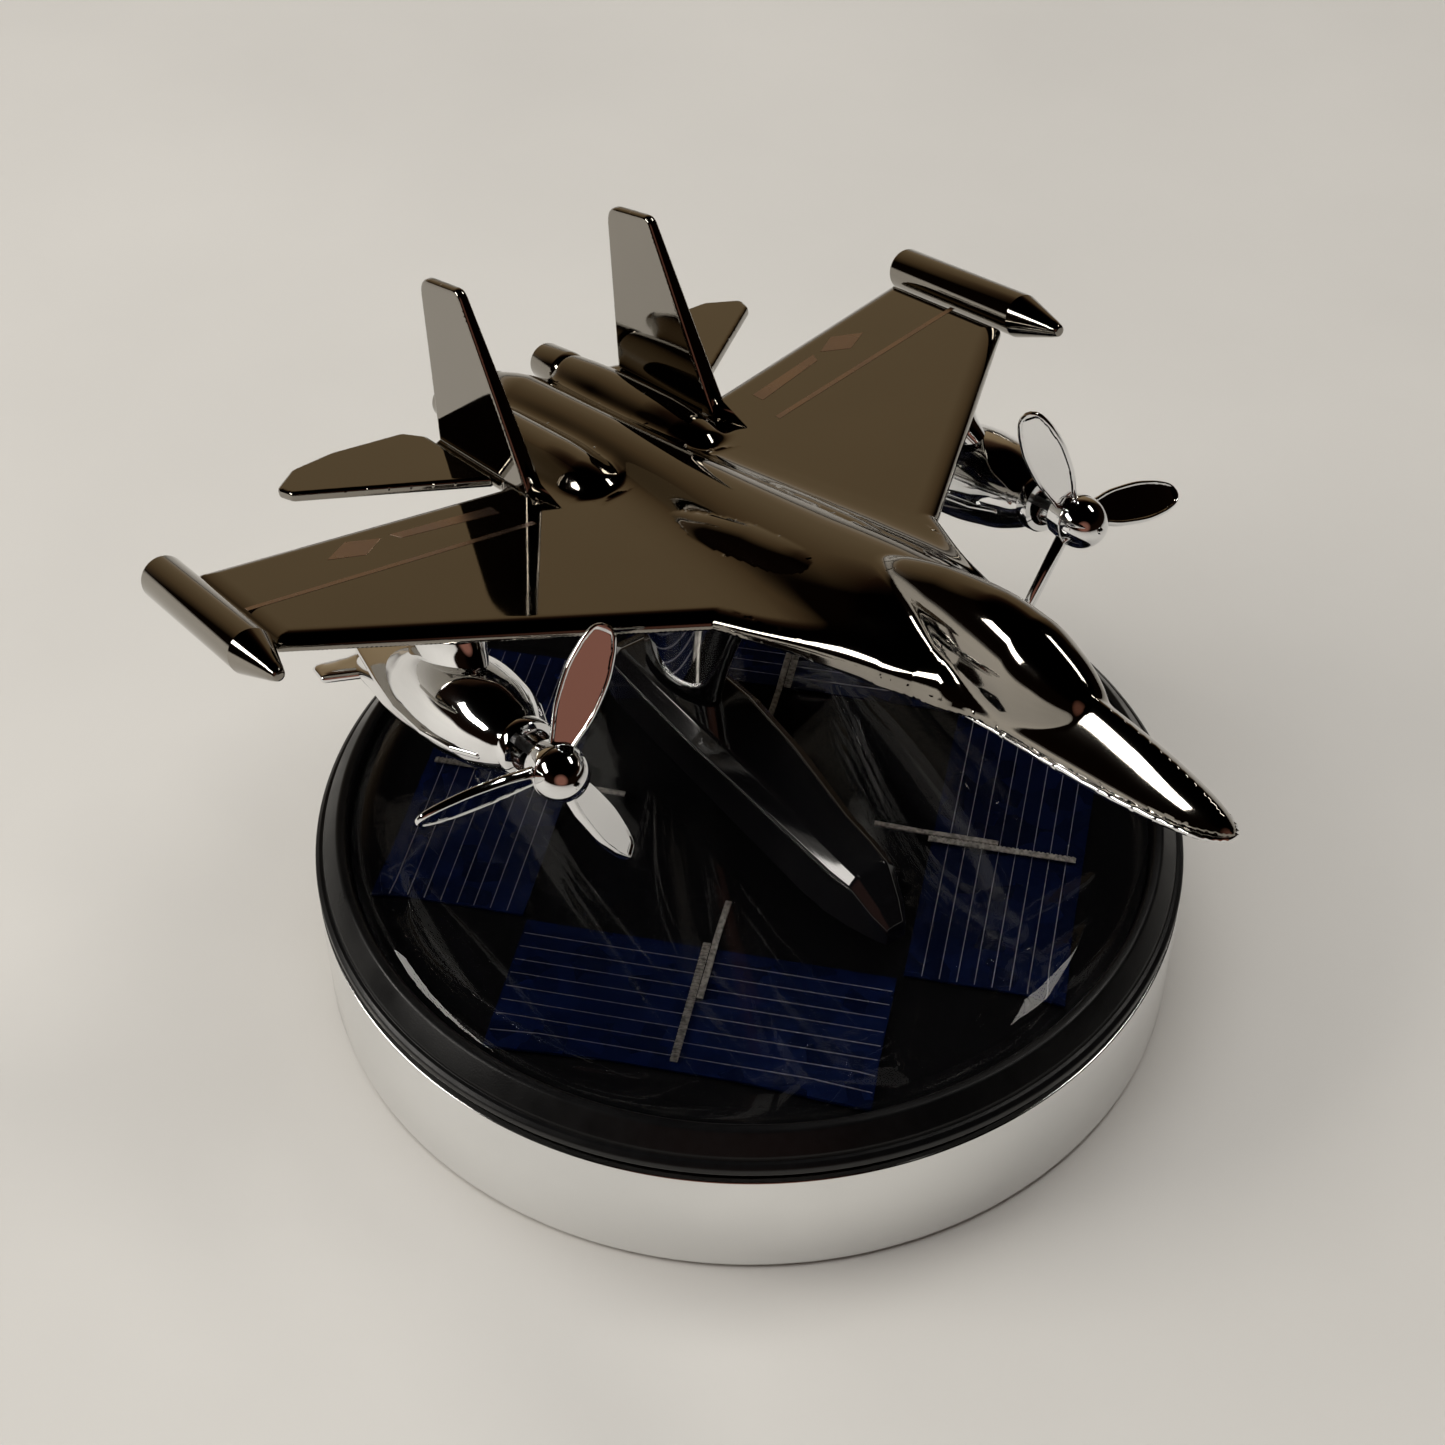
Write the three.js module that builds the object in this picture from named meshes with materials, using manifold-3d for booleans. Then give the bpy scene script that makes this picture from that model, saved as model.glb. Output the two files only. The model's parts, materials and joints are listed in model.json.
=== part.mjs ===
// A solar dashboard jet: a plated twin-tail model aircraft with two motor pods, on a round solar base.
// Millimetres, +Z up, +X towards the nose, origin at the centre of the base's underside.
import * as THREE from "three";
import { mergeVertices } from "three/addons/utils/BufferGeometryUtils.js";
import Module from "manifold-3d";

const wasm = await Module();
wasm.setup();

// ---- driving dimensions ----
const GAP = 0.3; // between pieces that seat on each other
const ROUND = 48; // facets round the base
const BASE_RADIUS = 47;
const WALL = { top: 14.4, thickness: 1.4, edge: 1.2, flange: 42.6, foot: 1.5, chamfer: 0.3 };
const COVER = { radius: 43, rim: 18.4, edge: 19.5, shoulder: 19.8, crown: 19.9, under: 17.45 };
const BEZEL = { inner: 43.3, lip: 41.8, lipHeight: 1.2, skirt: 44.1, foot: 3.8 };
const TRAY = { bottom: 14.9, top: 16.2, bossRadius: 3, bossCircle: 35, bossFoot: 3.8, pilotTop: 11 };
const FLOOR = { low: 1.8, high: 3.5, sink: 1 }; // the matt plate under the base, and its screws' sinks
const CELL = { length: 39, width: 16.2, thickness: 0.25, square: 20.1 };
const RIBBON = { width: 1.7, thickness: 0.12, tab: 6.4, margin: 0.8 };
const CELL_TURN = THREE.MathUtils.degToRad(43); // of the cells' square from the jet's heading
const STAND = { tail: -23, nose: 25.8, top: 29, foot: 3.9, chamfer: 0.6, lift: 0.2 };
const STAND_SCREWS = { spots: [-19.5, 9], depth: 4 };
const PYLON = { low: 29.3, high: 52.6, foot: [-19, -6], head: [-23, 4.5], footHalf: 2.4, headHalf: 4.4 };
const LEAD = { x: -12.5, radius: 0.8, bore: 1.2, low: 12.5, high: 52.5 };
const LEAD_POCKET = { radius: 2.2, low: 33, high: 63 }; // where the leads pass into the belly

const PITCH = THREE.MathUtils.degToRad(14); // nose-up angle of the jet
const WING_HEIGHT = 56.5; // from the origin to the wing's upper face, square to that face
const SKIN = 1.6; // thickness of wings and tailplanes
const SPLIT = { flat: 26.6, drop: 0.05 }; // the seam is flat under the wings and droops along the nose
const SHELL_WALL = { side: 1.5, top: 1.4, bottom: 1.6 };
const SHELL_SCREWS = [{ x: -22, head: -4.4 }, { x: 58, head: -5.7 }];
const WING = { tip: 44.6, leadTip: -2, trailTip: -21.2, kinkX: 26.6, kinkY: 13.2 };
const RAIL = { radius: 2.4, y: 47.3, z: 0.1, tail: -22.5, shoulder: -1.4, nose: 4.9 };
const FIN = { y: 11.5, height: 20.2, rootHalf: 1.0, tipHalf: 0.55 };
const TAILPLANE = { root: 12.6, thickness: 1.2 };
const ENGINE = { y: 6.4, z: -0.3 };
const POD = { y: 31.1, axis: -8.8, mouth: 20.8, throat: 1.5, seam: -12.6, seamRise: 0.15 };
const MOTOR = { back: 2.5, front: 13.5, radius: 3, collar: 1.3, collarLength: 1.6, chamfer: 0.6 };
const PROP = { x: 24.85, radius: 14.2, hub: 2.4, pitch: THREE.MathUtils.degToRad(38), blades: 3 };
const HUB = { back: -1.5, front: 0.9, flare: 0.2 };
const SPINNER = { back: 1.2, length: 3, overhang: 0.3 };
const SHAFT = { radius: 0.5, back: 12.5, front: 25.6, running: 0.2, pressed: 0.15 };
const PARKED = { right: 34.5, left: -18.3 }; // degrees of each propeller from upright

// Screws: shank and head radii, head height, whole length, and the radii of pilot and sink holes.
const BASE_SCREW = { shank: 1, head: 2.1, headHeight: 0.4, length: 7, seat: 2.5, pilot: 1.3, sink: 2.5 };
const STAND_SCREW = { shank: 1, head: 2.1, headHeight: 1.4, length: 8, pilot: 1.3 };
const SHELL_SCREW = { shank: 0.8, head: 1.5, headHeight: 0.8, length: 3.6, pilot: 1.1 };

// ---- materials ----
const finish = (color, roughness, metalness) => () =>
  new THREE.MeshStandardMaterial({ color, roughness, metalness });
const blackChrome = finish(0x4a4038, 0.08, 1);
const chrome = finish(0xd8dadc, 0.06, 1);
const glossBlack = finish(0x0a0a0c, 0.08, 0);
const mattBlack = finish(0x1a1a1b, 0.6, 0);
const silicon = finish(0x101a45, 0.25, 0.1);
const tinned = finish(0xb8b8b4, 0.35, 1);
const steel = finish(0x9a9da0, 0.3, 1);
const acrylic = finish(0x20242a, 0.03, 0);
const rubber = finish(0x2a2b2c, 0.9, 0);

// ---- geometry helpers ----
function toSolid(geometry) {
  const bare = geometry.clone();
  for (const name of ["normal", "uv"]) bare.deleteAttribute(name);
  const merged = mergeVertices(bare, 1e-4);
  const triVerts = new Uint32Array(merged.index.array);
  const vertProperties = new Float32Array(merged.attributes.position.array);
  return new wasm.Manifold(new wasm.Mesh({ numProp: 3, vertProperties, triVerts }));
}

function toGeometry(solid) {
  const { vertProperties, triVerts } = solid.getMesh();
  const geometry = new THREE.BufferGeometry();
  geometry.setAttribute("position", new THREE.BufferAttribute(vertProperties, 3));
  geometry.setIndex(new THREE.BufferAttribute(triVerts, 1));
  geometry.computeVertexNormals();
  return geometry;
}

const join = (...solids) => solids.reduce((whole, piece) => whole.add(piece));
const cut = (solid, ...tools) => solid.subtract(join(...tools));

// A solid of revolution about Z, from [radius, height] points that start and end on the axis or close.
function turned(points, facets = ROUND) {
  const profile = points.map(([r, z]) => new THREE.Vector2(r, z));
  return new THREE.LatheGeometry(profile, facets).rotateX(Math.PI / 2);
}

const disc = (radius, low, high, facets) =>
  turned([[0, low], [radius, low], [radius, high], [0, high]], facets);

// A turned solid laid along X, from [x, radius] points.
function spun(points, facets = 20) {
  return turned(points.map(([x, r]) => [r, x]), facets).rotateY(Math.PI / 2);
}

const rod = (radius, from, to, facets = 16) =>
  spun([[from, 0], [from, radius], [to, radius], [to, 0]], facets);

const block = (low, high) =>
  new THREE.BoxGeometry(high[0] - low[0], high[1] - low[1], high[2] - low[2])
    .translate((low[0] + high[0]) / 2, (low[1] + high[1]) / 2, (low[2] + high[2]) / 2);

// Joins rings of equally many points into a closed skin with a fan on each end.
function loft(rings) {
  const count = rings[0].length;
  const last = rings.length - 1;
  const points = rings.flat();
  const index = [];
  for (let r = 0; r < last; r += 1) {
    for (let i = 0; i < count; i += 1) {
      const a = r * count + i;
      const b = r * count + ((i + 1) % count);
      index.push(a, b, a + count, b, b + count, a + count);
    }
  }
  const middle = (ring) => ring.reduce((sum, p) => sum.add(p), new THREE.Vector3()).divideScalar(count);
  const start = points.push(middle(rings[0])) - 1;
  const end = points.push(middle(rings[last])) - 1;
  for (let i = 0; i < count; i += 1) {
    const j = (i + 1) % count;
    index.push(start, j, i, end, last * count + i, last * count + j);
  }
  const geometry = new THREE.BufferGeometry().setFromPoints(points);
  geometry.setIndex(index);
  geometry.computeVertexNormals();
  return geometry;
}

// A rounded body along X: each station is { x, y, z, wide, up, down }, half-extents from its centre.
function body(stations, facets = 24) {
  const rings = stations.map(({ x, y = 0, z = 0, wide, up = wide, down = up }) =>
    Array.from({ length: facets }, (_, i) => {
      const a = (i / facets) * 2 * Math.PI;
      const tall = Math.sin(a) > 0 ? up : down;
      return new THREE.Vector3(x, y + wide * Math.cos(a), z + tall * Math.sin(a));
    }));
  return loft(rings);
}

// A flat plate between two heights from [x, y] corners, with eased edges.
function plate(corners, low, high, ease = 0.25) {
  const shape = new THREE.Shape(corners.map(([x, y]) => new THREE.Vector2(x, y)));
  return new THREE.ExtrudeGeometry(shape, {
    depth: high - low - 2 * ease, bevelThickness: ease, bevelSize: ease, bevelOffset: -ease,
    bevelSegments: 1, curveSegments: 8,
  }).translate(0, 0, low + ease);
}

const mirrored = (corners) => [...corners, ...corners.map(([x, y]) => [x, -y]).reverse()];

// ---- the scene graph ----
const model = new THREE.Group();
const base = new THREE.Group();
const jet = new THREE.Group();
jet.rotation.y = -PITCH;
jet.position.set(-WING_HEIGHT * Math.sin(PITCH), 0, WING_HEIGHT * Math.cos(PITCH));
model.add(base, jet);

function place(parent, name, geometry, material) {
  const mesh = new THREE.Mesh(geometry, material());
  mesh.name = name;
  parent.add(mesh);
  return mesh;
}

// A pan-head screw pointing up, with its head's seat at the origin.
function screw({ length, shank, head, headHeight }) {
  return turned([[0, -headHeight], [head, -headHeight], [head, 0], [shank, 0], [shank, length],
    [0, length]], 12);
}

// ---- base ----
function baseWall() {
  const inner = BASE_RADIUS - WALL.thickness;
  const corner = Array.from({ length: 4 }, (_, i) => {
    const a = (i / 3) * (Math.PI / 2);
    return [BASE_RADIUS - WALL.edge * (1 - Math.sin(a)), WALL.edge * (1 - Math.cos(a))];
  });
  return turned([[WALL.flange, 0], ...corner, [BASE_RADIUS, WALL.top - WALL.chamfer],
    [BASE_RADIUS - WALL.chamfer, WALL.top], [inner, WALL.top], [inner, WALL.foot], [WALL.flange, WALL.foot],
    [WALL.flange, 0]]);
}

function bezel() {
  const { inner, lip, skirt, foot } = BEZEL;
  const outer = BASE_RADIUS - WALL.thickness - GAP;
  const ledge = TRAY.bottom - GAP;
  const shelf = ledge - BEZEL.lipHeight;
  return turned([[inner, ledge], [lip, ledge], [lip, shelf], [skirt, shelf], [skirt, foot],
    [outer, foot], [outer, WALL.top + GAP], [46.2, WALL.top + GAP], [BASE_RADIUS, 15.7],
    [BASE_RADIUS, 16.4], [46.7, 16.75], [46.05, 16.9], [46.05, 17.15], [44.3, 19.1], [43.9, 19.35],
    [inner, 19.2], [inner, ledge]]);
}

const bossSpots = [0, 1, 2].map((i) => {
  const a = (i / 3) * 2 * Math.PI + Math.PI / 6;
  return [TRAY.bossCircle * Math.cos(a), TRAY.bossCircle * Math.sin(a)];
});
const boss = (radius, low, high) =>
  bossSpots.map(([x, y]) => toSolid(disc(radius, low, high, 16).translate(x, y, 0)));
const standBores = (high) => STAND_SCREWS.spots.map((x) =>
  toSolid(disc(STAND_SCREW.pilot, 0, high, 16).translate(x, 0, 0)));
const leadBore = toSolid(disc(LEAD.bore, 0, WING_HEIGHT, 16).translate(LEAD.x, 0, 0));

function tray() {
  const bosses = boss(TRAY.bossRadius, TRAY.bossFoot, TRAY.bottom + GAP);
  const pilots = boss(BASE_SCREW.pilot, 0, TRAY.pilotTop);
  const board = toSolid(disc(BEZEL.inner - GAP, TRAY.bottom, TRAY.top));
  return toGeometry(cut(join(board, ...bosses), ...pilots, ...standBores(STAND.top), leadBore));
}

function basePlate() {
  const { low, high, sink } = FLOOR;
  const floor = toSolid(disc(BASE_RADIUS - WALL.thickness - GAP, low, high));
  const holes = boss(BASE_SCREW.pilot, 0, TRAY.pilotTop);
  return toGeometry(cut(floor, ...holes, ...boss(BASE_SCREW.sink, 0, low + sink)));
}

function cover() {
  const { radius, rim, under, shoulder, crown } = COVER;
  const edge = Array.from({ length: 4 }, (_, i) => {
    const a = (i / 3) * (Math.PI / 2);
    const round = COVER.edge - rim;
    return [radius - round * (1 - Math.cos(a)), rim + round * Math.sin(a)];
  });
  const profile = turned([[0, under], [radius, under], ...edge, [radius / 2, shoulder], [0, crown]]);
  return toGeometry(cut(toSolid(profile), ...standBores(STAND.top), leadBore));
}

place(base, "base_pad", disc(WALL.flange - GAP, 0, WALL.foot), rubber);
place(base, "chrome_wall", baseWall(), chrome);
place(base, "base_plate", basePlate(), mattBlack);
place(base, "bezel_ring", bezel(), mattBlack);
place(base, "cell_tray", tray(), glossBlack);
place(base, "clear_cover", cover(), acrylic);
bossSpots.forEach(([x, y], i) => {
  place(base, `base_screw_${i + 1}`, screw(BASE_SCREW).translate(x, y, BASE_SCREW.seat), steel);
});

// Four cells round an open square, each with a ribbon across it that runs on past the inner edge.
["front", "left", "rear", "right"].forEach((side, i) => {
  const spot = new THREE.Group();
  spot.rotation.z = (i * Math.PI) / 2 - Math.PI / 2 + CELL_TURN;
  base.add(spot);
  const low = TRAY.top + GAP;
  const inner = CELL.square;
  const outer = inner + CELL.width;
  const half = CELL.length / 2;
  place(spot, `solar_cell_${side}`,
    block([inner, -half, low], [outer, half, low + CELL.thickness]), silicon);
  const ribbonLow = low + CELL.thickness + GAP;
  place(spot, `cell_ribbon_${side}`, block([inner - RIBBON.tab, -RIBBON.width / 2, ribbonLow],
    [outer - RIBBON.margin, RIBBON.width / 2, ribbonLow + RIBBON.thickness]), tinned);
});

// ---- stand and pylon ----
function standBody() {
  const low = COVER.crown + STAND.lift;
  const { tail, nose, top, foot, chamfer } = STAND;
  const stations = [[tail, 3.4, 3.8, top - 3], [tail + 3, foot, 4.5, top - 0.9], [-5, foot, 5, top],
    [4, foot, 4.5, top - 0.2], [14, foot, 3.5, top - 1.4], [18.4, foot - 0.3, 3.3, top - 1.6],
    [21.4, 2.9, 2.9, top - 1.9], [24.4, 1.9, 2, top - 4.6], [nose, 1.2, 1.2, top - 6.4]];
  const rings = stations.map(([x, lowHalf, topHalf, z]) => [[-lowHalf, low], [lowHalf, low],
    [topHalf, z - chamfer], [topHalf - chamfer, z], [chamfer - topHalf, z], [-topHalf, z - chamfer]]
    .map(([y, height]) => new THREE.Vector3(x, y, height)));
  return toGeometry(cut(toSolid(loft(rings)), ...standBores(low + STAND_SCREWS.depth), leadBore));
}

// The pylon stands on the stand's top, leans out, and its head slopes with the belly.
function pylon() {
  const { low, high, foot, head, footHalf, headHalf } = PYLON;
  const rings = [0, 0.3, 0.65, 1].map((t) => {
    const spread = (t * t + t) / 2;
    const back = THREE.MathUtils.lerp(foot[0], head[0], spread);
    const front = THREE.MathUtils.lerp(foot[1], head[1], spread);
    const half = THREE.MathUtils.lerp(footHalf, headHalf, spread);
    return Array.from({ length: 20 }, (_, i) => {
      const a = (i / 20) * 2 * Math.PI;
      const along = (back + front) / 2 + ((front - back) / 2) * Math.cos(a);
      const top = high + along * Math.tan(PITCH);
      return new THREE.Vector3(along, half * Math.sin(a), THREE.MathUtils.lerp(low, top, t));
    });
  });
  return toGeometry(cut(toSolid(loft(rings)), leadBore));
}

place(base, "stand", standBody(), glossBlack);
["rear", "front"].forEach((end, i) => {
  const seated = screw(STAND_SCREW).translate(STAND_SCREWS.spots[i], 0, TRAY.bottom - GAP);
  place(base, `stand_screw_${end}`, seated, steel);
});
place(base, "belly_pylon", pylon(), chrome);
place(base, "lead_wires", disc(LEAD.radius, LEAD.low, LEAD.high, 12).translate(LEAD.x, 0, 0), rubber);

// ---- jet shells ----
const fuselage = [
  { x: -31.4, wide: 1.5, up: 1.2, down: 1.8 },
  { x: -30, wide: 1.8, up: 1.5, down: 2.6 },
  { x: -15, wide: 2.4, up: 2.3, down: 4.2 },
  { x: 0, wide: 3.2, up: 2.8, down: 5 },
  { x: 12, wide: 4.6, up: 3.2, down: 5 },
  { x: 26, wide: 5.6, up: 3.9, down: 5 },
  { x: 38, z: -0.3, wide: 5.9, up: 4.4, down: 4.9 },
  { x: 48, z: -0.7, wide: 5.4, up: 4.4, down: 4.6 },
  { x: 56, z: -1.2, wide: 4.7, up: 4.2, down: 4.2 },
  { x: 64, z: -2, wide: 4.1, up: 4.2, down: 3.9 },
  { x: 71, z: -2.8, wide: 3.4, up: 3.7, down: 3.2 },
  { x: 76, z: -3.5, wide: 2.6, up: 2.8, down: 2.3 },
  { x: 79, z: -3.9, wide: 1.9, up: 2, down: 1.6 },
  { x: 80.6, z: -4.1, wide: 1.1, up: 1.1, down: 0.9 },
  { x: 81.1, z: -4.2, wide: 0.4, up: 0.4, down: 0.3 },
];
const canopy = [
  { x: 35, z: 2, wide: 0.6, up: 2, down: 1 },
  { x: 40, wide: 2.6, up: 5.4, down: 1 },
  { x: 46, wide: 3.6, up: 6.5, down: 1 },
  { x: 52, wide: 4.1, up: 6.9, down: 1 },
  { x: 57, wide: 4.1, up: 6.2, down: 1 },
  { x: 60.5, wide: 3.5, up: 4.7, down: 1 },
  { x: 64, wide: 2.1, up: 2.4, down: 1 },
];
// Flat-bottomed slabs along X, as [x, half-width, underside].
const belly = [[-33, 5.6, -2.6], [-12, 8.6, -3.8], [12, 8.8, -4.2], [26, 8, -4.3], [42, 6, -4.2]];
const strake = [[26, 12.9, -1.7], [32, 11, -2.4], [37, 9.3, -3], [44.4, 6.8, -3.9], [52, 5, -4.5]];
const engine = (side) => [
  { x: -36.3, wide: 2.1 }, { x: -30, wide: 2.3 }, { x: -22, wide: 2.8 }, { x: -13, wide: 3.1, up: 2.9 },
  { x: -7, wide: 2.9, up: 2.5 }, { x: -3.5, wide: 2.2, up: 1.7 }, { x: -1.8, wide: 0.8, up: 0.6 },
].map((station) => ({ ...station, y: side * ENGINE.y, z: ENGINE.z }));

const wingOutline = mirrored([
  [50, 4.4], [44.4, 6.9], [37, 9.4], [WING.kinkX, WING.kinkY], [WING.leadTip, WING.tip],
  [WING.trailTip, WING.tip], [-12.6, 13.4], [-14, 12.6], [-28.5, 12.6], [-30.5, 8.5]]);

// Everything above (or below) the seam, which is flat under the wings and droops along the nose.
function seamHalf(upper, depth) {
  const far = 100; // past the jet on every side
  const seam = [[-far, -depth], [SPLIT.flat, -depth], [far, -depth - (far - SPLIT.flat) * SPLIT.drop]];
  const edge = upper ? far : -far;
  const ends = [[far, edge], [-far, edge]];
  const outline = upper ? [...seam, ...ends] : [...ends.reverse(), ...seam.reverse()];
  const shape = new THREE.Shape(outline.map(([x, z]) => new THREE.Vector2(x, z)));
  const half = new THREE.ExtrudeGeometry(shape, { depth: 2 * far, bevelEnabled: false });
  return toSolid(half.rotateX(Math.PI / 2).translate(0, far, 0));
}

const SLAB = { top: -0.4, chamfer: 0.6 };
const slab = (stations) => toSolid(loft(stations.map(([x, half, low]) =>
  [[half, SLAB.top], [-half, SLAB.top], [SLAB.chamfer - half, low], [half - SLAB.chamfer, low]]
    .map(([y, z]) => new THREE.Vector3(x, y, z)))));
const bodySolid = join(slab(belly), slab(strake), toSolid(body(fuselage)), toSolid(body(canopy, 20)),
  toSolid(body(engine(1), 16)), toSolid(body(engine(-1), 16)));
const shellHollow = toSolid(body(fuselage.slice(2, 8).map((station) => ({
  ...station,
  wide: station.wide - SHELL_WALL.side,
  up: station.up - SHELL_WALL.top,
  down: station.down - SHELL_WALL.bottom,
})), 12));
const shellPilots = SHELL_SCREWS.map(({ x }) =>
  toSolid(disc(SHELL_SCREW.pilot, -20, 0.6, 12).translate(x, 0, 0)));

function upperShell() {
  const wing = toSolid(plate(wingOutline, -SKIN, 0));
  const above = join(bodySolid.intersect(seamHalf(true, SKIN)), wing);
  return toGeometry(cut(above, shellHollow, ...shellPilots));
}

function lowerShell() {
  const below = bodySolid.intersect(seamHalf(false, SKIN + GAP));
  const toJet = new THREE.Matrix4().copy(jet.matrix).invert().multiply(base.matrix);
  return toGeometry(cut(below, shellHollow, ...shellPilots, leadPocket(toJet)));
}

// The hole over the pylon that lets the leads into the belly: upright, so tilted as the jet sees it.
function leadPocket(toJet) {
  const hole = disc(LEAD_POCKET.radius, LEAD_POCKET.low, LEAD_POCKET.high, 16);
  return toSolid(hole.translate(LEAD.x, 0, 0).applyMatrix4(toJet));
}

base.updateMatrix();
jet.updateMatrix();
place(jet, "upper_shell", upperShell(), blackChrome);
place(jet, "lower_shell", lowerShell(), chrome);
["rear", "front"].forEach((end, i) => {
  const { x, head } = SHELL_SCREWS[i];
  place(jet, `shell_screw_${end}`, screw(SHELL_SCREW).translate(x, 0, head), steel);
});

// ---- fins, tailplanes and wing-tip rails ----
function fin(side) {
  const levels = [[GAP, -8, -27.4], [7, -10.5, -27], [13, -12.7, -26.3], [17.6, -14.4, -25.6],
    [19.3, -15.3, -24], [FIN.height, -17, -20.5]];
  const rings = levels.map(([z, lead, trail]) => {
    const half = THREE.MathUtils.lerp(FIN.rootHalf, FIN.tipHalf, z / FIN.height);
    return [[lead, 0.7], [lead - 0.5, 1], [trail + 2.5, 0.8], [trail, 0.3],
      [trail, -0.3], [trail + 2.5, -0.8], [lead - 0.5, -1], [lead, -0.7]]
      .map(([x, reach]) => new THREE.Vector3(x, side * FIN.y + reach * half, z));
  });
  const spike = [[-9, 1.0, 2.2], [-6, 0.6, 1.0], [-4.3, 0.1, 0.2]].map(([x, half, high]) =>
    [[-half, GAP], [half, GAP], [half * 0.4, GAP + high], [-half * 0.4, GAP + high]]
      .map(([y, z]) => new THREE.Vector3(x, side * FIN.y + y, z)));
  return toGeometry(join(toSolid(loft(rings)), toSolid(loft(spike))));
}

function tailplane(side) {
  const root = TAILPLANE.root + GAP;
  const corners = [[-14.6, root], [-29.2, 29.6], [-30.4, 30.3], [-32, 30], [-34.4, 27], [-34.7, 22],
    [-32.6, 14.2], [-29.4, root]].map(([x, y]) => [x, side * y]);
  return plate(side > 0 ? corners : corners.reverse(), -TAILPLANE.thickness, 0);
}

function rail(side) {
  const { radius, tail, shoulder, nose, y, z } = RAIL;
  return spun([[tail, 0], [tail, radius - 0.3], [tail + 0.3, radius], [shoulder, radius],
    [nose - 1, 0.9], [nose - 0.2, 0.5], [nose, 0]], 24).translate(0, side * y, z);
}

// ---- motor pods ----
const podStations = [
  { x: -16.4, z: -14.9, wide: 0.9 }, { x: -15, z: -14.7, wide: 1.5 }, { x: -10, z: -13.5, wide: 2.5 },
  { x: -4, z: -11.9, wide: 3.8 }, { x: 3, z: -10, wide: 4.9 }, { x: 9, z: -9.1, wide: 5.2 },
  { x: 14, z: POD.axis, wide: 4.7 }, { x: 17.5, z: POD.axis, wide: 3.7 },
  { x: 19.4, z: POD.axis, wide: 2.8 }, { x: 19.9, z: POD.axis, wide: 2.95 },
  { x: POD.mouth, z: POD.axis, wide: 2.8 },
];

function podHalves(side) {
  const y = side * POD.y;
  const nacelle = toSolid(body(podStations.map((station) => ({ ...station, y })), 20));
  const strut = toSolid(loft([[-2, 14, 1.8, 0, -8], [-3, 12.5, 2.4, 0.6, -4.8],
    [-5, 10.6, 3.6, 1.4, -SKIN - GAP]].map(([back, front, half, inward, z]) =>
    Array.from({ length: 16 }, (_, i) => {
      const a = (i / 16) * 2 * Math.PI;
      return new THREE.Vector3((back + front) / 2 + ((front - back) / 2) * Math.cos(a),
        y - side * inward + half * Math.sin(a), z);
    }))));
  const chine = toSolid(plate(mirrored([[12, 5], [4, 5.5], [-2.4, 5]]).map(([x, reach]) => [x, y - reach]),
    -9.4, -8.5, 0.2));
  const tailplanes = toSolid(plate(mirrored([[-13.4, 1], [-16.4, 5], [-19.6, 4.6]]).map(([x, reach]) =>
    [x, y - reach]), -15.3, -14.4, 0.2));
  const tailFin = toSolid(block([-17.4, y - 0.4, -15], [-14, y + 0.4, -11.4]));
  const motorBay = toSolid(rod(MOTOR.radius + GAP, MOTOR.back - GAP, MOTOR.front + GAP, 20)
    .translate(0, y, POD.axis));
  const throat = toSolid(rod(POD.throat, MOTOR.front, POD.mouth + 1, 16).translate(0, y, POD.axis));
  const seam = (low, high) => toSolid(block([-60, y - 20, low], [60, y + 20, high])
    .rotateY(-Math.atan(POD.seamRise)).translate(0, 0, POD.seam));
  const whole = join(nacelle, strut, chine, tailplanes, tailFin);
  const hollow = join(motorBay, throat);
  return {
    upper: toGeometry(cut(whole.intersect(seam(0, 40)), hollow)),
    lower: toGeometry(cut(nacelle.intersect(seam(-20, -GAP)), hollow)),
  };
}

function motor(side) {
  const { back, front, radius, collar, collarLength, chamfer } = MOTOR;
  const face = front - 0.4;
  const can = toSolid(spun([[back, 0], [back, radius], [face - chamfer, radius], [face, radius - chamfer],
    [face, collar], [front + collarLength, collar], [front + collarLength, 0]], 20));
  const bush = toSolid(rod(SHAFT.radius + SHAFT.running, SHAFT.back - 2 * SHAFT.running, front + 3, 12));
  return toGeometry(cut(can, bush)).translate(0, side * POD.y, POD.axis);
}

// ---- propellers ----
function blade(turn) {
  const stations = [[1.2, 2.2, 1.2], [3, 2.8, 1.1], [6, 4.1, 1], [9, 4.4, 0.9], [11.5, 3.8, 0.8],
    [13.2, 2.9, 0.7], [PROP.radius, 1.4, 0.5]];
  const rings = stations.map(([r, chord, thick]) => Array.from({ length: 10 }, (_, i) => {
    const a = (i / 10) * 2 * Math.PI;
    return new THREE.Vector3((thick / 2) * Math.sin(a), (-chord / 2) * Math.cos(a), r);
  }));
  return toSolid(loft(rings).rotateZ(-PROP.pitch).rotateX(turn));
}

function propeller() {
  const { back, front, flare } = HUB;
  const hub = toSolid(spun([[back, 0], [back, PROP.hub], [front, PROP.hub + flare], [front, 0]], 24));
  const blades = Array.from({ length: PROP.blades }, (_, i) => blade((-i * 2 * Math.PI) / PROP.blades));
  const bore = toSolid(rod(SHAFT.radius + SHAFT.pressed, 2 * back, front + GAP, 12));
  return toGeometry(cut(join(hub, ...blades), bore));
}

// A dome with a small nipple at its tip.
function spinner() {
  const { back, length, overhang } = SPINNER;
  const tip = back + length;
  const dome = Array.from({ length: 7 }, (_, i) => {
    const a = (i / 7) * (Math.PI / 2);
    return [back + length * Math.sin(a), (PROP.hub + overhang) * Math.cos(a)];
  });
  return spun([[back, 0], ...dome, [tip, 0.35], [tip + 0.3, 0.2], [tip + 0.35, 0]], 24);
}

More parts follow.
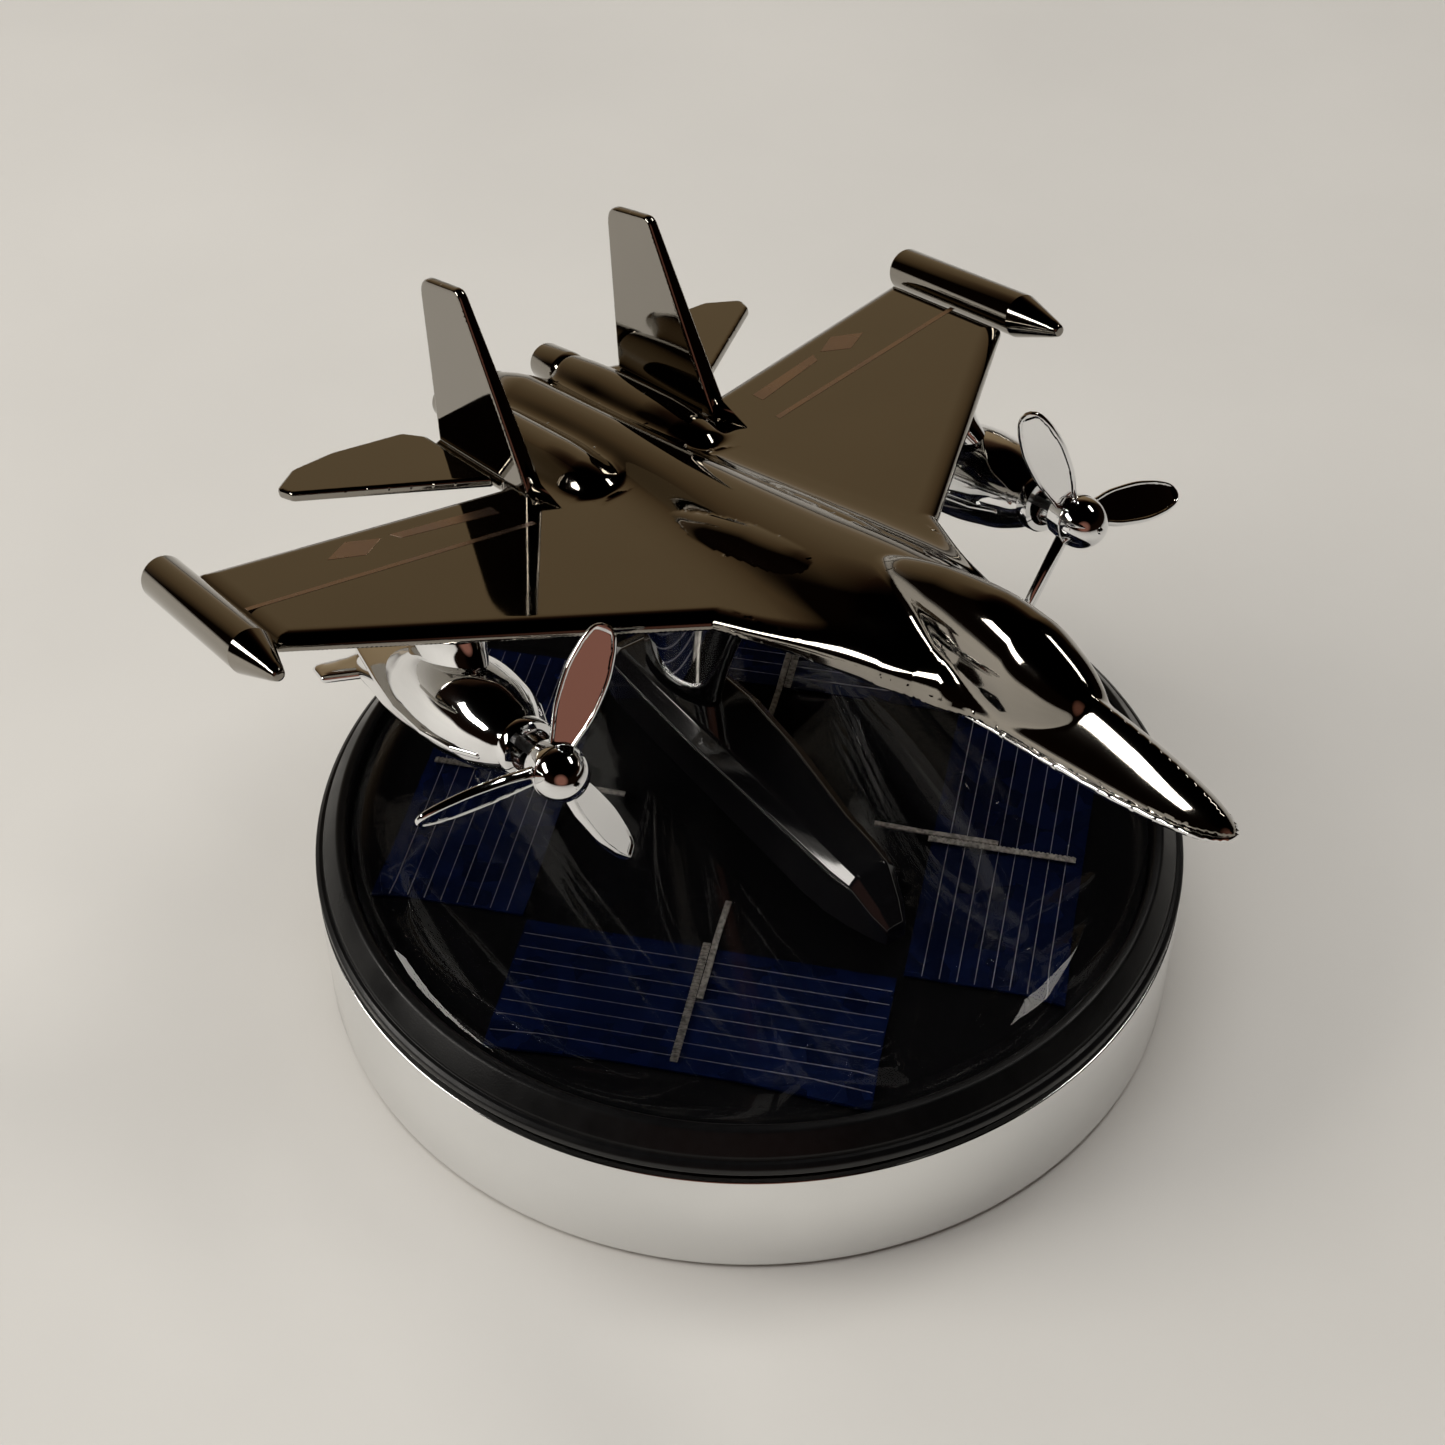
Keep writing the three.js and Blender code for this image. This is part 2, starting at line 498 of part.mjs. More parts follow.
for (const [label, side] of [["left", 1], ["right", -1]]) {
  place(jet, `fin_${label}`, fin(side), blackChrome);
  place(jet, `tailplane_${label}`, tailplane(side), blackChrome);
  place(jet, `tip_rail_${label}`, rail(side), blackChrome);
  const pod = podHalves(side);
  place(jet, `pod_upper_${label}`, pod.upper, chrome);
  place(jet, `pod_lower_${label}`, pod.lower, chrome);
  place(jet, `motor_${label}`, motor(side), steel);
  const axis = new THREE.Group();
  axis.position.set(PROP.x, side * POD.y, POD.axis);
  axis.rotation.x = THREE.MathUtils.degToRad(-PARKED[label]);
  jet.add(axis);
  place(axis, `motor_shaft_${label}`, rod(SHAFT.radius, SHAFT.back - PROP.x, SHAFT.front - PROP.x), steel);
  place(axis, `propeller_${label}`, propeller(), chrome);
  place(axis, `spinner_${label}`, spinner(), chrome);
}

export default model;
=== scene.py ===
"""Looks of a plated dashboard jet: fine skins, finishes, floor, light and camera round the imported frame."""
import json
import math
import bmesh
import bpy
import numpy as np
from mathutils import Matrix, Vector
from mathutils.geometry import delaunay_2d_cdt


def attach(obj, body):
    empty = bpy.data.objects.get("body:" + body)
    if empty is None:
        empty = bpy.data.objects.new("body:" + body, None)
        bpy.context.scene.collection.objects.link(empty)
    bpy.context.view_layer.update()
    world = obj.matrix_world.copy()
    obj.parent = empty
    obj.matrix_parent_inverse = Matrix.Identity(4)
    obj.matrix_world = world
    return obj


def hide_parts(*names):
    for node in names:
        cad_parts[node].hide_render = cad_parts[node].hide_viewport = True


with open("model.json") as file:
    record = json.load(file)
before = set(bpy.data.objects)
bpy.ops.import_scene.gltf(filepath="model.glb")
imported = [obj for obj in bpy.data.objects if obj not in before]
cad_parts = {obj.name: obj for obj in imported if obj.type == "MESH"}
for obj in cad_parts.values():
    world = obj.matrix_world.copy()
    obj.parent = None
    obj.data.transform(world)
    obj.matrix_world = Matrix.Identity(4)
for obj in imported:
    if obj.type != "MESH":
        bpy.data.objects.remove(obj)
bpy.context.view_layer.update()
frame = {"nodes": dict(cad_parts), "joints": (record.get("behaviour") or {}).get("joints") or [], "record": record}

# ---- frame and sizes, in millimetres ----
MM = 0.001
AIRFRAME = "airframe"
SIDES = {"left": 1, "right": -1}
hinge = {joint["child"]: joint for joint in frame["joints"]}
spin_axis = Vector(hinge["prop_left"]["axis"])
PITCH = math.atan2(spin_axis.z, spin_axis.x)  # nose-up angle of the jet
WING_HEIGHT = 56.5
JET = Matrix.Rotation(-PITCH, 4, "Y") @ Matrix.Translation((0, 0, WING_HEIGHT))
BASE_RADIUS = 47
SKIN = 1.6
NOSE_TIP = 81.25
POD_Y = 31.1
POD_AXIS = -8.8
ENGINE_Y = 6.4
PARKED = {"right": 34.5, "left": -18.3}  # degrees of each propeller from upright
CELL = {"length": 39, "width": 16.2, "square": 20.1, "top": 16.75, "fingers": 9}
CELL_TURN = math.radians(43)


# ---- finishes ----
def color_ramp(tree, source, stops):
    """Turns source into a colour by (position, colour) stops."""
    node = tree.nodes.new("ShaderNodeValToRGB")
    ramp = node.color_ramp.elements
    while len(ramp) < len(stops):
        ramp.new(0.5)
    for element, (position, color) in zip(ramp, stops):
        element.position = position
        element.color = (*color, 1)
    tree.links.new(source, node.inputs["Fac"])
    return node.outputs["Color"]


class Finish:
    """A node material with one Principled shader, and short calls to add nodes to it."""

    def __init__(self, name, color, roughness, metallic=0.0, **values):
        self.material = bpy.data.materials.new(name)
        self.material.use_nodes = True
        self.tree = self.material.node_tree
        self.shader = self.tree.nodes["Principled BSDF"]
        self.set(self.shader, {"Base Color": (*color, 1), "Roughness": roughness, "Metallic": metallic})
        self.set(self.shader, {key.replace("_", " "): value for key, value in values.items()})
        self.coords = self.tree.nodes.new("ShaderNodeTexCoord").outputs["Object"]

    def set(self, node, values):
        for key, value in values.items():
            node.inputs[key].default_value = value

    def link(self, source, node, key):
        self.tree.links.new(source, node.inputs[key])

    def noise(self, scale, detail=4.0, stretch=(1, 1, 1), turn=0.0):
        """Noise over the object's own coordinates, stretched along its axes; scale counts per metre."""
        mapping = self.tree.nodes.new("ShaderNodeMapping")
        self.set(mapping, {"Scale": stretch, "Rotation": (0, 0, turn)})
        self.link(self.coords, mapping, "Vector")
        texture = self.tree.nodes.new("ShaderNodeTexNoise")
        self.set(texture, {"Scale": scale, "Detail": detail})
        self.link(mapping.outputs[0], texture, "Vector")
        return texture.outputs["Fac"]

    def grade(self, source, low, high, first, last):
        """Maps source from low..high to first..last."""
        node = self.tree.nodes.new("ShaderNodeMapRange")
        self.set(node, {"From Min": low, "From Max": high, "To Min": first, "To Max": last})
        self.link(source, node, "Value")
        return node.outputs[0]

    def tint(self, source, stops):
        return color_ramp(self.tree, source, stops)

    def bump(self, source, depth, strength=1.0):
        """Adds a bump whose full height is depth metres."""
        node = self.tree.nodes.new("ShaderNodeBump")
        self.set(node, {"Strength": strength, "Distance": depth})
        self.link(source, node, "Height")
        before = self.shader.inputs["Normal"]
        if before.is_linked:
            self.link(before.links[0].from_socket, node, "Normal")
        self.link(node.outputs[0], self.shader, "Normal")
        return self


def plated(name, color, roughness, wave):
    """Chrome over moulded plastic: faint waves under the plating, wipe marks and dust that dull it."""
    finish = Finish(name, color, roughness, 1.0)
    dull = finish.grade(finish.noise(90, 6, (1, 3, 1), 0.6), 0.35, 0.75, roughness, roughness * 1.9 + 0.015)
    finish.link(dull, finish.shader, "Roughness")
    shade = finish.tint(finish.noise(60, 3), [(0.3, [c * 0.94 for c in color]), (0.7, color)])
    finish.link(shade, finish.shader, "Base Color")
    finish.bump(finish.noise(110, 1), wave)
    return finish.bump(finish.noise(6000, 2), 2e-6, 0.35)


def gloss(name, color, roughness=0.06, index=1.5):
    """Moulded glossy black plastic with fine wipe scratches; a low index is for plastic under clear resin."""
    finish = Finish(name, color, roughness, IOR=index)
    scratches = finish.noise(260, 8, (1, 14, 14), 0.5)
    finish.link(finish.grade(scratches, 0.55, 0.85, roughness, roughness + 0.05), finish.shader, "Roughness")
    return finish.bump(finish.noise(300, 2), 4e-6, 0.3)


def matt(name, color, roughness):
    """Spark-textured black plastic, worn a little smoother in patches."""
    finish = Finish(name, color, roughness, IOR=1.34)
    worn = finish.grade(finish.noise(150, 5), 0.3, 0.7, roughness - 0.1, roughness + 0.08)
    finish.link(worn, finish.shader, "Roughness")
    shade = finish.tint(finish.noise(900, 4), [(0.35, color), (0.7, [c * 1.6 for c in color])])
    finish.link(shade, finish.shader, "Base Color")
    return finish.bump(finish.noise(5200, 2), 2.5e-5, 0.6)


def silicon(name):
    """Dark blue crystalline cell: large grains that differ a little in tone."""
    finish = Finish(name, (0.0007, 0.002, 0.012), 0.22, IOR=1.2)
    grains = finish.tree.nodes.new("ShaderNodeTexVoronoi")
    finish.set(grains, {"Scale": 420})
    finish.link(finish.coords, grains, "Vector")
    tone = finish.tint(grains.outputs["Color"],
                       [(0.2, (0.0005, 0.0015, 0.008)), (0.8, (0.001, 0.0028, 0.015))])
    finish.link(tone, finish.shader, "Base Color")
    return finish.bump(finish.noise(2500, 3), 3e-6, 0.4)


def metal(name, color, roughness, grain=(1, 1, 12)):
    """Plain worked metal with a fine drawn grain."""
    finish = Finish(name, color, roughness, 1.0)
    lines = finish.noise(1500, 5, grain)
    finish.link(finish.grade(lines, 0.3, 0.7, roughness - 0.08, roughness + 0.12), finish.shader, "Roughness")
    return finish.bump(lines, 6e-6, 0.5)


def clear(name):
    """Clear acrylic that lets lamps reach the cells under it, with faint wipe marks on its face."""
    finish = Finish(name, (1, 1, 1), 0.0, IOR=1.25, Transmission_Weight=1.0)
    marks = finish.noise(60, 3, (1, 30, 30), 0.9)
    finish.link(finish.grade(marks, 0.6, 0.9, 0.0, 0.004), finish.shader, "Roughness")
    path = finish.tree.nodes.new("ShaderNodeLightPath")
    through = finish.tree.nodes.new("ShaderNodeBsdfTransparent")
    mix = finish.tree.nodes.new("ShaderNodeMixShader")
    finish.link(path.outputs["Is Shadow Ray"], mix, "Fac")
    finish.tree.links.new(finish.shader.outputs[0], mix.inputs[1])
    finish.tree.links.new(through.outputs[0], mix.inputs[2])
    finish.link(mix.outputs[0], finish.tree.nodes["Material Output"], "Surface")
    return finish


def ribbon(name):
    """Tinned strip, dull and crimped, with solder in uneven beads."""
    finish = Finish(name, (0.3, 0.295, 0.28), 0.45, 1.0)
    beads = finish.noise(1900, 3)
    finish.link(finish.tint(beads, [(0.3, (0.16, 0.155, 0.145)), (0.65, (0.46, 0.44, 0.41))]),
                finish.shader, "Base Color")
    finish.link(finish.grade(beads, 0.3, 0.7, 0.6, 0.32), finish.shader, "Roughness")
    return finish.bump(beads, 6e-5, 0.9)


FINISHES = {
    "black_chrome": plated("dark_plating", (0.29, 0.27, 0.238), 0.03, 7e-6),
    "bright_chrome": plated("bright_plating", (0.86, 0.865, 0.87), 0.03, 5e-6),
    "potted_black": gloss("potted_black_plastic", (0.002, 0.002, 0.0022), 0.1, 1.12),
    "grained_chrome": plated("grained_plating", (0.84, 0.845, 0.84), 0.11, 4e-6),
    "printed_silver": metal("printed_silver", (0.2, 0.2, 0.23), 0.5),
    "wing_paint": plated("wing_paint", (0.5, 0.38, 0.33), 0.2, 5e-6),
    "gloss_black": gloss("gloss_black_plastic", (0.006, 0.006, 0.007)),
    "matte_black": matt("textured_black_plastic", (0.002, 0.002, 0.0022), 0.36),
    "clear_acrylic": clear("clear_cover_acrylic"),
    "silicon": silicon("cell_silicon"),
    "tinned_copper": ribbon("tinned_ribbon"),
    "zinc_steel": metal("zinc_steel", (0.56, 0.57, 0.58), 0.3),
    "pad_rubber": matt("pad_rubber", (0.02, 0.02, 0.021), 0.8),
}


def show(piece, slot, body, *nodes, finish=None):
    """Gives a piece its finish and the body that it rides on, and hides the CAD nodes that it stands for."""
    piece.data.materials.clear()
    piece.data.materials.append(FINISHES[finish or slot].material)
    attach(piece, body)
    if nodes:
        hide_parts(*nodes)
    return piece


# ---- mesh helpers: every skin is (points, faces) in millimetres ----
def skin_object(name, skins, place=None, sharp=35):
    """One object from one or more closed skins, put in place and scaled to metres."""
    place = place or Matrix()
    mesh = bpy.data.meshes.new(name)
    points, faces = merged(skins)
    mesh.from_pydata([(place @ Vector(p)) * MM for p in points], [], faces)
    work = bmesh.new()
    work.from_mesh(mesh)
    bmesh.ops.remove_doubles(work, verts=work.verts, dist=1e-7)
    bmesh.ops.recalc_face_normals(work, faces=work.faces)
    work.to_mesh(mesh)
    work.free()
    mesh.shade_smooth()
    mesh.set_sharp_from_angle(angle=math.radians(sharp))
    piece = bpy.data.objects.new(name, mesh)
    bpy.context.scene.collection.objects.link(piece)
    return piece


def merged(skins):
    points = []
    faces = []
    for skin_points, skin_faces in skins:
        start = len(points)
        points.extend([tuple(p) for p in skin_points])
        faces.extend([tuple(start + i for i in face) for face in skin_faces])
    return points, faces


def moved(skin, matrix):
    points, faces = skin
    return [tuple(matrix @ Vector(p)) for p in points], faces


def rounded(corners, steps=5, closed=True):
    """Eases each (x, y, radius) corner of an outline with a short curve."""
    count = len(corners)
    result = []
    for i, corner in enumerate(corners):
        here = np.array(corner[:2], float)
        radius = corner[2] if len(corner) > 2 else 0
        ends = not closed and i in (0, count - 1)
        if radius == 0 or ends:
            result.append(tuple(here))
            continue
        back = np.array(corners[i - 1][:2], float) - here
        ahead = np.array(corners[(i + 1) % count][:2], float) - here
        back_length = np.linalg.norm(back)
        ahead_length = np.linalg.norm(ahead)
        cosine = np.clip(back @ ahead / (back_length * ahead_length), -1, 1)
        reach = min(radius / math.tan(math.acos(cosine) / 2), back_length * 0.48, ahead_length * 0.48)
        start = here + back / back_length * reach
        end = here + ahead / ahead_length * reach
        for t in np.linspace(0, 1, steps + 1):
            result.append(tuple((1 - t) ** 2 * start + 2 * t * (1 - t) * here + t * t * end))
    return result


def loft(rings, closed=False):
    """Joins rings of equally many points; the ends are capped unless the rings close on themselves."""
    count = len(rings[0])
    points = [tuple(p) for ring in rings for p in ring]
    faces = []
    for r in range(len(rings) if closed else len(rings) - 1):
        low = r * count
        high = ((r + 1) % len(rings)) * count
        for i in range(count):
            j = (i + 1) % count
            faces.append((low + i, low + j, high + j, high + i))
    if not closed:
        last = (len(rings) - 1) * count
        faces.append(tuple(reversed(range(count))))
        faces.append(tuple(range(last, last + count)))
    return points, faces


def turned(profile, segments=160):
    """Revolves (radius, height) points about Z; the profile closes or starts and ends at the axis."""
    on_axis = profile[0][0] < 1e-6
    radii = [(max(r, 1e-4), z) for r, z in profile]
    rings = []
    for r, z in radii:
        turn = np.linspace(0, 2 * math.pi, segments, endpoint=False)
        rings.append(np.stack([r * np.cos(turn), r * np.sin(turn), np.full(segments, z)], 1))
    return loft(rings, closed=not on_axis)


def spun(profile, segments=64):
    """A turned skin laid along X, from (x, radius) points."""
    return moved(turned([(r, x) for x, r in profile], segments), Matrix.Rotation(math.pi / 2, 4, "Y"))


def fair(xs, ys, x):
    """A monotone cubic curve through the points xs, ys, read at x."""
    xs = np.asarray(xs, float)
    ys = np.asarray(ys, float)
    step = np.diff(xs)
    slope = np.diff(ys) / step
    inner = np.where(slope[1:] * slope[:-1] > 0, 2 / (1 / np.where(slope[1:] == 0, 1, slope[1:])
                     + 1 / np.where(slope[:-1] == 0, 1, slope[:-1])), 0)
    tangent = np.concatenate([[slope[0]], inner, [slope[-1]]])
    x = np.clip(x, xs[0], xs[-1])
    i = np.clip(np.searchsorted(xs, x, side="right") - 1, 0, len(xs) - 2)
    t = (x - xs[i]) / step[i]
    a = (1 + 2 * t) * (1 - t) ** 2 * ys[i] + t * t * (3 - 2 * t) * ys[i + 1]
    b = t * (1 - t) ** 2 * tangent[i] + t * t * (t - 1) * tangent[i + 1]
    return a + b * step[i]


# ---- skins over a flat outline ----
def spaced(outline, spacing):
    """Points along a closed outline, no further apart than spacing."""
    result = []
    for here, ahead in zip(outline, outline[1:] + outline[:1]):
        here = np.array(here)
        ahead = np.array(ahead)
        parts = max(1, int(np.linalg.norm(ahead - here) / spacing))
        result.extend(here + (ahead - here) * k / parts for k in range(parts))
    return np.array(result)


def edge_distance(points, outline):
    """Each point's distance to a closed outline, positive inside."""
    start = np.asarray(outline, float)
    along = np.roll(start, -1, 0) - start
    best = np.full(len(points), 1e9)
    inside = np.zeros(len(points), bool)
    for a, d in zip(start, along):
        t = np.clip(((points - a) @ d) / max(d @ d, 1e-12), 0, 1)
        best = np.minimum(best, np.linalg.norm(points - a - t[:, None] * d, axis=1))
        crosses = (a[1] > points[:, 1]) != (a[1] + d[1] > points[:, 1])
        if d[1] != 0:
            inside ^= crosses & (points[:, 0] < a[0] + (points[:, 1] - a[1]) * d[0] / d[1])
    return np.where(inside, best, -best)


def triangles(points, rim_count):
    """Delaunay triangles of points inside the outline that the first rim_count of them make."""
    edges = [(i, (i + 1) % rim_count) for i in range(rim_count)]
    _, _, faces, origin, _, _ = delaunay_2d_cdt([Vector(p) for p in points], edges, [], 1, 1e-6)
    first = [o[0] if o else -1 for o in origin]
    return [tuple(first[i] for i in face) for face in faces if all(first[i] >= 0 for i in face)]


def sheet_points(outline, levels, grids):
    """The rim, loops inside it at the given depths, and grids of (spacing, x range, y range) points."""
    rim = spaced(outline, 0.5)
    ahead = np.roll(rim, -1, 0) - np.roll(rim, 1, 0)
    inward = np.stack([-ahead[:, 1], ahead[:, 0]], 1) / np.linalg.norm(ahead, axis=1)[:, None]
    found = [rim]
    for depth in levels:
        loop = rim + inward * depth
        found.append(loop[edge_distance(loop, rim) > depth * 0.97])
    deepest = levels[-1]
    for spacing, (x0, x1), (y0, y1) in grids:
        columns = np.arange(x0, x1, spacing)
        rows = np.arange(y0, y1, spacing)
        grid = np.stack(np.meshgrid(columns, rows), -1).reshape(-1, 2)
        found.append(grid[edge_distance(grid, rim) > deepest + spacing * 0.45])
    return np.concatenate(found), len(rim)


def bulge(depth, half):
    """Half the thickness of a small plate at a depth from its rounded rim."""
    return half * np.sqrt(np.maximum(1 - (1 - np.clip(depth / half, 0, 1)) ** 2, 0)) + 0.01


def pillow(outline, top, bottom, levels, grids=()):
    """A closed skin over an outline. top and bottom give heights from (x, y, edge distance)."""
    points, rim_count = sheet_points(outline, levels, grids)
    faces = triangles(points, rim_count)
    depth = edge_distance(points, points[:rim_count])
    depth[:rim_count] = 0
    x, y = points.T
    upper = np.column_stack([x, y, top(x, y, depth)])
    lower = np.column_stack([x, y, bottom(x, y, depth)])
    inner = np.arange(rim_count, len(points))
    index = np.concatenate([np.arange(rim_count), len(points) + np.arange(len(inner))])
    below = [tuple(int(index[i]) for i in reversed(face)) for face in faces]
    return np.concatenate([upper, lower[inner]]), faces + below


# ---- base ----
def base_profiles():
    """Each turned piece of the base: name, slot, profile and the CAD node that it stands for."""
    r = BASE_RADIUS
    wall = [(42.6, 0), (r, 0, 1.3), (r, 14.4, 0.25), (r - 1.4, 14.4, 0.1), (r - 1.4, 1.5), (42.6, 1.5)]
    bezel = [(43.3, 14.6), (41.8, 14.6), (41.8, 13.4), (44.1, 13.4), (44.1, 3.8), (45.3, 3.8), (45.3, 14.7),
             (46.2, 14.7), (46.95, 15.6, 0.5), (46.95, 16.4, 0.35), (46.5, 16.75, 0.15), (46.1, 16.82, 0.15),
             (46.05, 17.25, 0.5), (44.4, 19.25, 0.7), (43.6, 19.3, 0.25), (43.3, 18.9, 0.1)]
    brow = [(38.54 + 6 * math.sin(t), 13.765 + 6 * math.cos(t)) for t in np.radians(np.linspace(48, 4, 16))]
    cover = [(0, 17.45), (43, 17.45), *brow, (20, 19.87), (0, 19.9)]
    return [("fine_chrome_wall", "bright_chrome", rounded(wall), "chrome_wall"),
            ("fine_bezel_ring", "matte_black", rounded(bezel), "bezel_ring"),
            ("fine_clear_cover", "clear_acrylic", rounded(cover, closed=False), "clear_cover"),
            ("fine_base_pad", "pad_rubber", rounded([(0, 0), (42.3, 0, 0.3), (42.3, 1.5), (0, 1.5)],
                                                    closed=False), "base_pad")]


for name, slot, profile, node in base_profiles():
    finish = "grained_chrome" if node == "chrome_wall" else None
    show(skin_object(name, [turned(profile, 240)]), slot, AIRFRAME, node, finish=finish)


def bar(low, high):
    corners = [(low[0], low[1]), (high[0], low[1]), (high[0], high[1]), (low[0], high[1])]
    return loft([[(x, y, low[2]) for x, y in corners], [(x, y, high[2]) for x, y in corners]])


def cell_fingers(side, turn):
    """The thin printed conductors that run the long way over a cell."""
    pitch = CELL["width"] / CELL["fingers"]
    half = CELL["length"] / 2 - 0.2
    low = CELL["top"]
    lines = []
    for k in range(1, CELL["fingers"]):
        x = CELL["square"] + k * pitch
        lines.append(bar((x - 0.045, -half, low), (x + 0.045, half, low + 0.02)))
    piece = skin_object(f"cell_fingers_{side}", lines, Matrix.Rotation(turn, 4, "Z"))
    return show(piece, "tinned_copper", AIRFRAME, finish="printed_silver")


def cell_ribbon(side, turn):
    """A soldered strip with pressed teeth over the cell, and the plain tab that laps it and runs inwards."""
    low = 17.05
    outer = CELL["square"] + CELL["width"] - 0.8
    inner = CELL["square"] - 6.4
    strip = [bar((CELL["square"] - 0.4, -0.75, low), (outer, 0.0, low + 0.07))]
    teeth = [bar((x, -0.78, low), (x + 0.24, 0.03, low + 0.15))
             for x in np.arange(CELL["square"] - 0.2, outer - 0.3, 0.46)]
    bends = [(inner, 0.2), (inner + 2.2, 0.12), (inner + 5.6, 0.02), (inner + 9, 0.05), (inner + 13.4, 0.0)]
    tab = loft([[(x, y + 0.08, low + 0.02), (x, y + 0.78, low + 0.02), (x, y + 0.74, low + 0.11 + y * 0.3),
                 (x, y + 0.12, low + 0.13 + y * 0.3)] for x, y in bends])
    piece = skin_object(f"fine_ribbon_{side}", strip + teeth + [tab], Matrix.Rotation(turn, 4, "Z"))
    return show(piece, "tinned_copper", AIRFRAME, f"cell_ribbon_{side}")


for i, side in enumerate(["front", "left", "rear", "right"]):
    cell_fingers(side, i * math.pi / 2 - math.pi / 2 + CELL_TURN)
    cell_ribbon(side, i * math.pi / 2 - math.pi / 2 + CELL_TURN)


# ---- stand and pylon ----
def stand():
    """A tall swept blade with chamfered shoulders that narrows to a wedge at its nose."""
    low = 20.15
    top = 29
    # x, half-width at the foot and at the head, height of the head, and its chamfer
    stations = [(-23, 3.4, 3.8, top - 3, 1.2), (-20, 3.9, 4.5, top - 0.9, 1.4), (-5, 3.9, 5, top, 1.6),
                (4, 3.9, 4.5, top - 0.2, 1.6), (14, 3.9, 3.5, top - 1.4, 1.4),
                (18.4, 3.6, 3.3, top - 1.6, 1.3), (21.4, 2.9, 2.9, top - 1.9, 1.1),
                (24.4, 1.9, 2, top - 4.6, 0.9), (25.8, 1.2, 1.2, top - 6.4, 0.5)]
    rings = []
    for x, foot, head, z, chamfer in stations:
        half = [(foot, low), (head, z - chamfer), (head - chamfer, z)]
        rings.append([(x, -y, h) for y, h in half] + [(x, y, h) for y, h in reversed(half)])
    piece = skin_object("fine_stand", [loft(rings)], sharp=12)
    return soften(piece, 0.28, 3, 9)


def soften(piece, width, segments=3, angle=30):
    """Eases edges sharper than angle, with flat faces kept flat."""
    bevel = piece.modifiers.new("eased_edges", "BEVEL")
    bevel.width = width * MM
    bevel.segments = segments
    bevel.limit_method = "ANGLE"
    bevel.angle_limit = math.radians(angle)
    bevel.harden_normals = True
    return piece


def pylon():
    """The plated V under the belly: an oval that spreads as it rises, its head sloped with the belly."""
    rings = []
    foot = 29.3
    belly = 52.6
    for t in np.linspace(0, 1, 24):
        spread = (t * t + t) / 2
        back = -19 + (-23 + 19) * spread
        front = -6 + (4.5 + 6) * spread
        half = 2.4 + 2 * spread
        turn = np.linspace(0, 2 * math.pi, 64, endpoint=False)
        along = (back + front) / 2 + (front - back) / 2 * np.cos(turn)
        height = foot + (belly + along * math.tan(PITCH) - foot) * t
        rings.append(np.stack([along, half * np.sin(turn), height], 1))
    return skin_object("fine_belly_pylon", [loft(rings)])


show(stand(), "gloss_black", AIRFRAME, "stand")
show(pylon(), "bright_chrome", AIRFRAME, "belly_pylon")


# ---- jet body, as implicit solids: every field is negative inside, and close to a distance ----
# Fuselage stations: x, centre height, half-width, rise above the centre and drop below it.
FUSELAGE = [
    (-36, 0, 0.9, 0.7, 1.2), (-33, 0, 1.5, 1.2, 1.6), (-30, 0, 1.8, 1.5, 2.6), (-15, 0, 2.4, 2.3, 4.2),
    (0, 0, 3.2, 2.8, 5), (12, 0, 4.2, 3.2, 5), (26, 0, 5.6, 3.9, 5), (38, -0.5, 6.5, 4.7, 4.7),
    (44, -1.1, 6.2, 4.9, 4.2), (50, -1.8, 5.5, 5.3, 3.5), (56, -2.4, 4.85, 5.4, 3), (64, -3.2, 4.2, 5.4, 2.7),
    (71, -3.8, 3.5, 4.7, 2.2), (76, -4.1, 2.7, 3.4, 1.7), (79, -4.25, 1.92, 2.3, 1.2),
    (80.6, -4.25, 1.04, 1.2, 0.7), (NOSE_TIP, -4.25, 0.02, 0.02, 0.02)]
# Canopy: x, centre height, half-width, rise.
CANOPY = [(33.5, 1.6, 0.15, 0.15), (37, 1.4, 1.7, 3.0), (40, 1, 2.6, 4.6), (46, 0.4, 3.6, 6.2),
          (52, 0, 4.1, 6.9), (57, 0, 4.1, 6.2), (60.5, 0, 3.5, 4.7), (64, 0, 2.1, 2.4), (65.8, 0, 0.15, 0.2)]
# Shoulders: x, distance from the middle, half-width, rise.
SHOULDER = [(6.5, 4.6, 0.08, 0.08), (8, 4.4, 0.5, 0.6), (10, 4.2, 1.0, 1.2), (14, 3.8, 1.9, 2.1),
            (20, 3.3, 2.6, 2.9), (28, 2.9, 3.1, 3.4), (36, 2.3, 3.3, 3.3), (44, 1.4, 3.0, 2.4),
            (52, 0.8, 2.2, 1.0)]
# Engine humps: x, half-width, rise.
ENGINE = [(-32, 1.9, 1.9), (-30, 2.3, 2.3), (-22, 2.8, 2.8), (-13, 3.1, 2.9), (-7, 2.9, 2.5),
          (-3.5, 2.2, 1.7), (-1.6, 0.15, 0.1)]
# Belly slab and strakes: x and depth below the wing's top.
BELLY = [(-33, 2.6), (-12, 3.8), (12, 4.2), (26, 4.2), (26.6, 1.9), (32, 2.4), (37, 3), (44.4, 3.9),
         (52, 4.4)]
# Half outlines from nose to tail: x and distance from the middle.
WING = [(50, 4.4), (44.4, 6.9), (37, 9.4), (26.6, 13.2), (-2, 44.6), (-21.2, 44.6), (-12.6, 13.4),
        (-14, 12.6), (-28.5, 12.6), (-30.5, 8.5), (-31.5, 2)]
BELLY_PLAN = [(52, 3.6), (44.4, 6.6), (37, 9.1), (27.2, 12.7), (26.4, 8.5), (12, 8.5), (-12, 8.3),
              (-28.5, 6.6), (-30, 1.4)]
KINK = 26.6
SEAM_DROOP = 0.05
SEAM_GAP = 0.12
ENGINE_DROP = 0.3
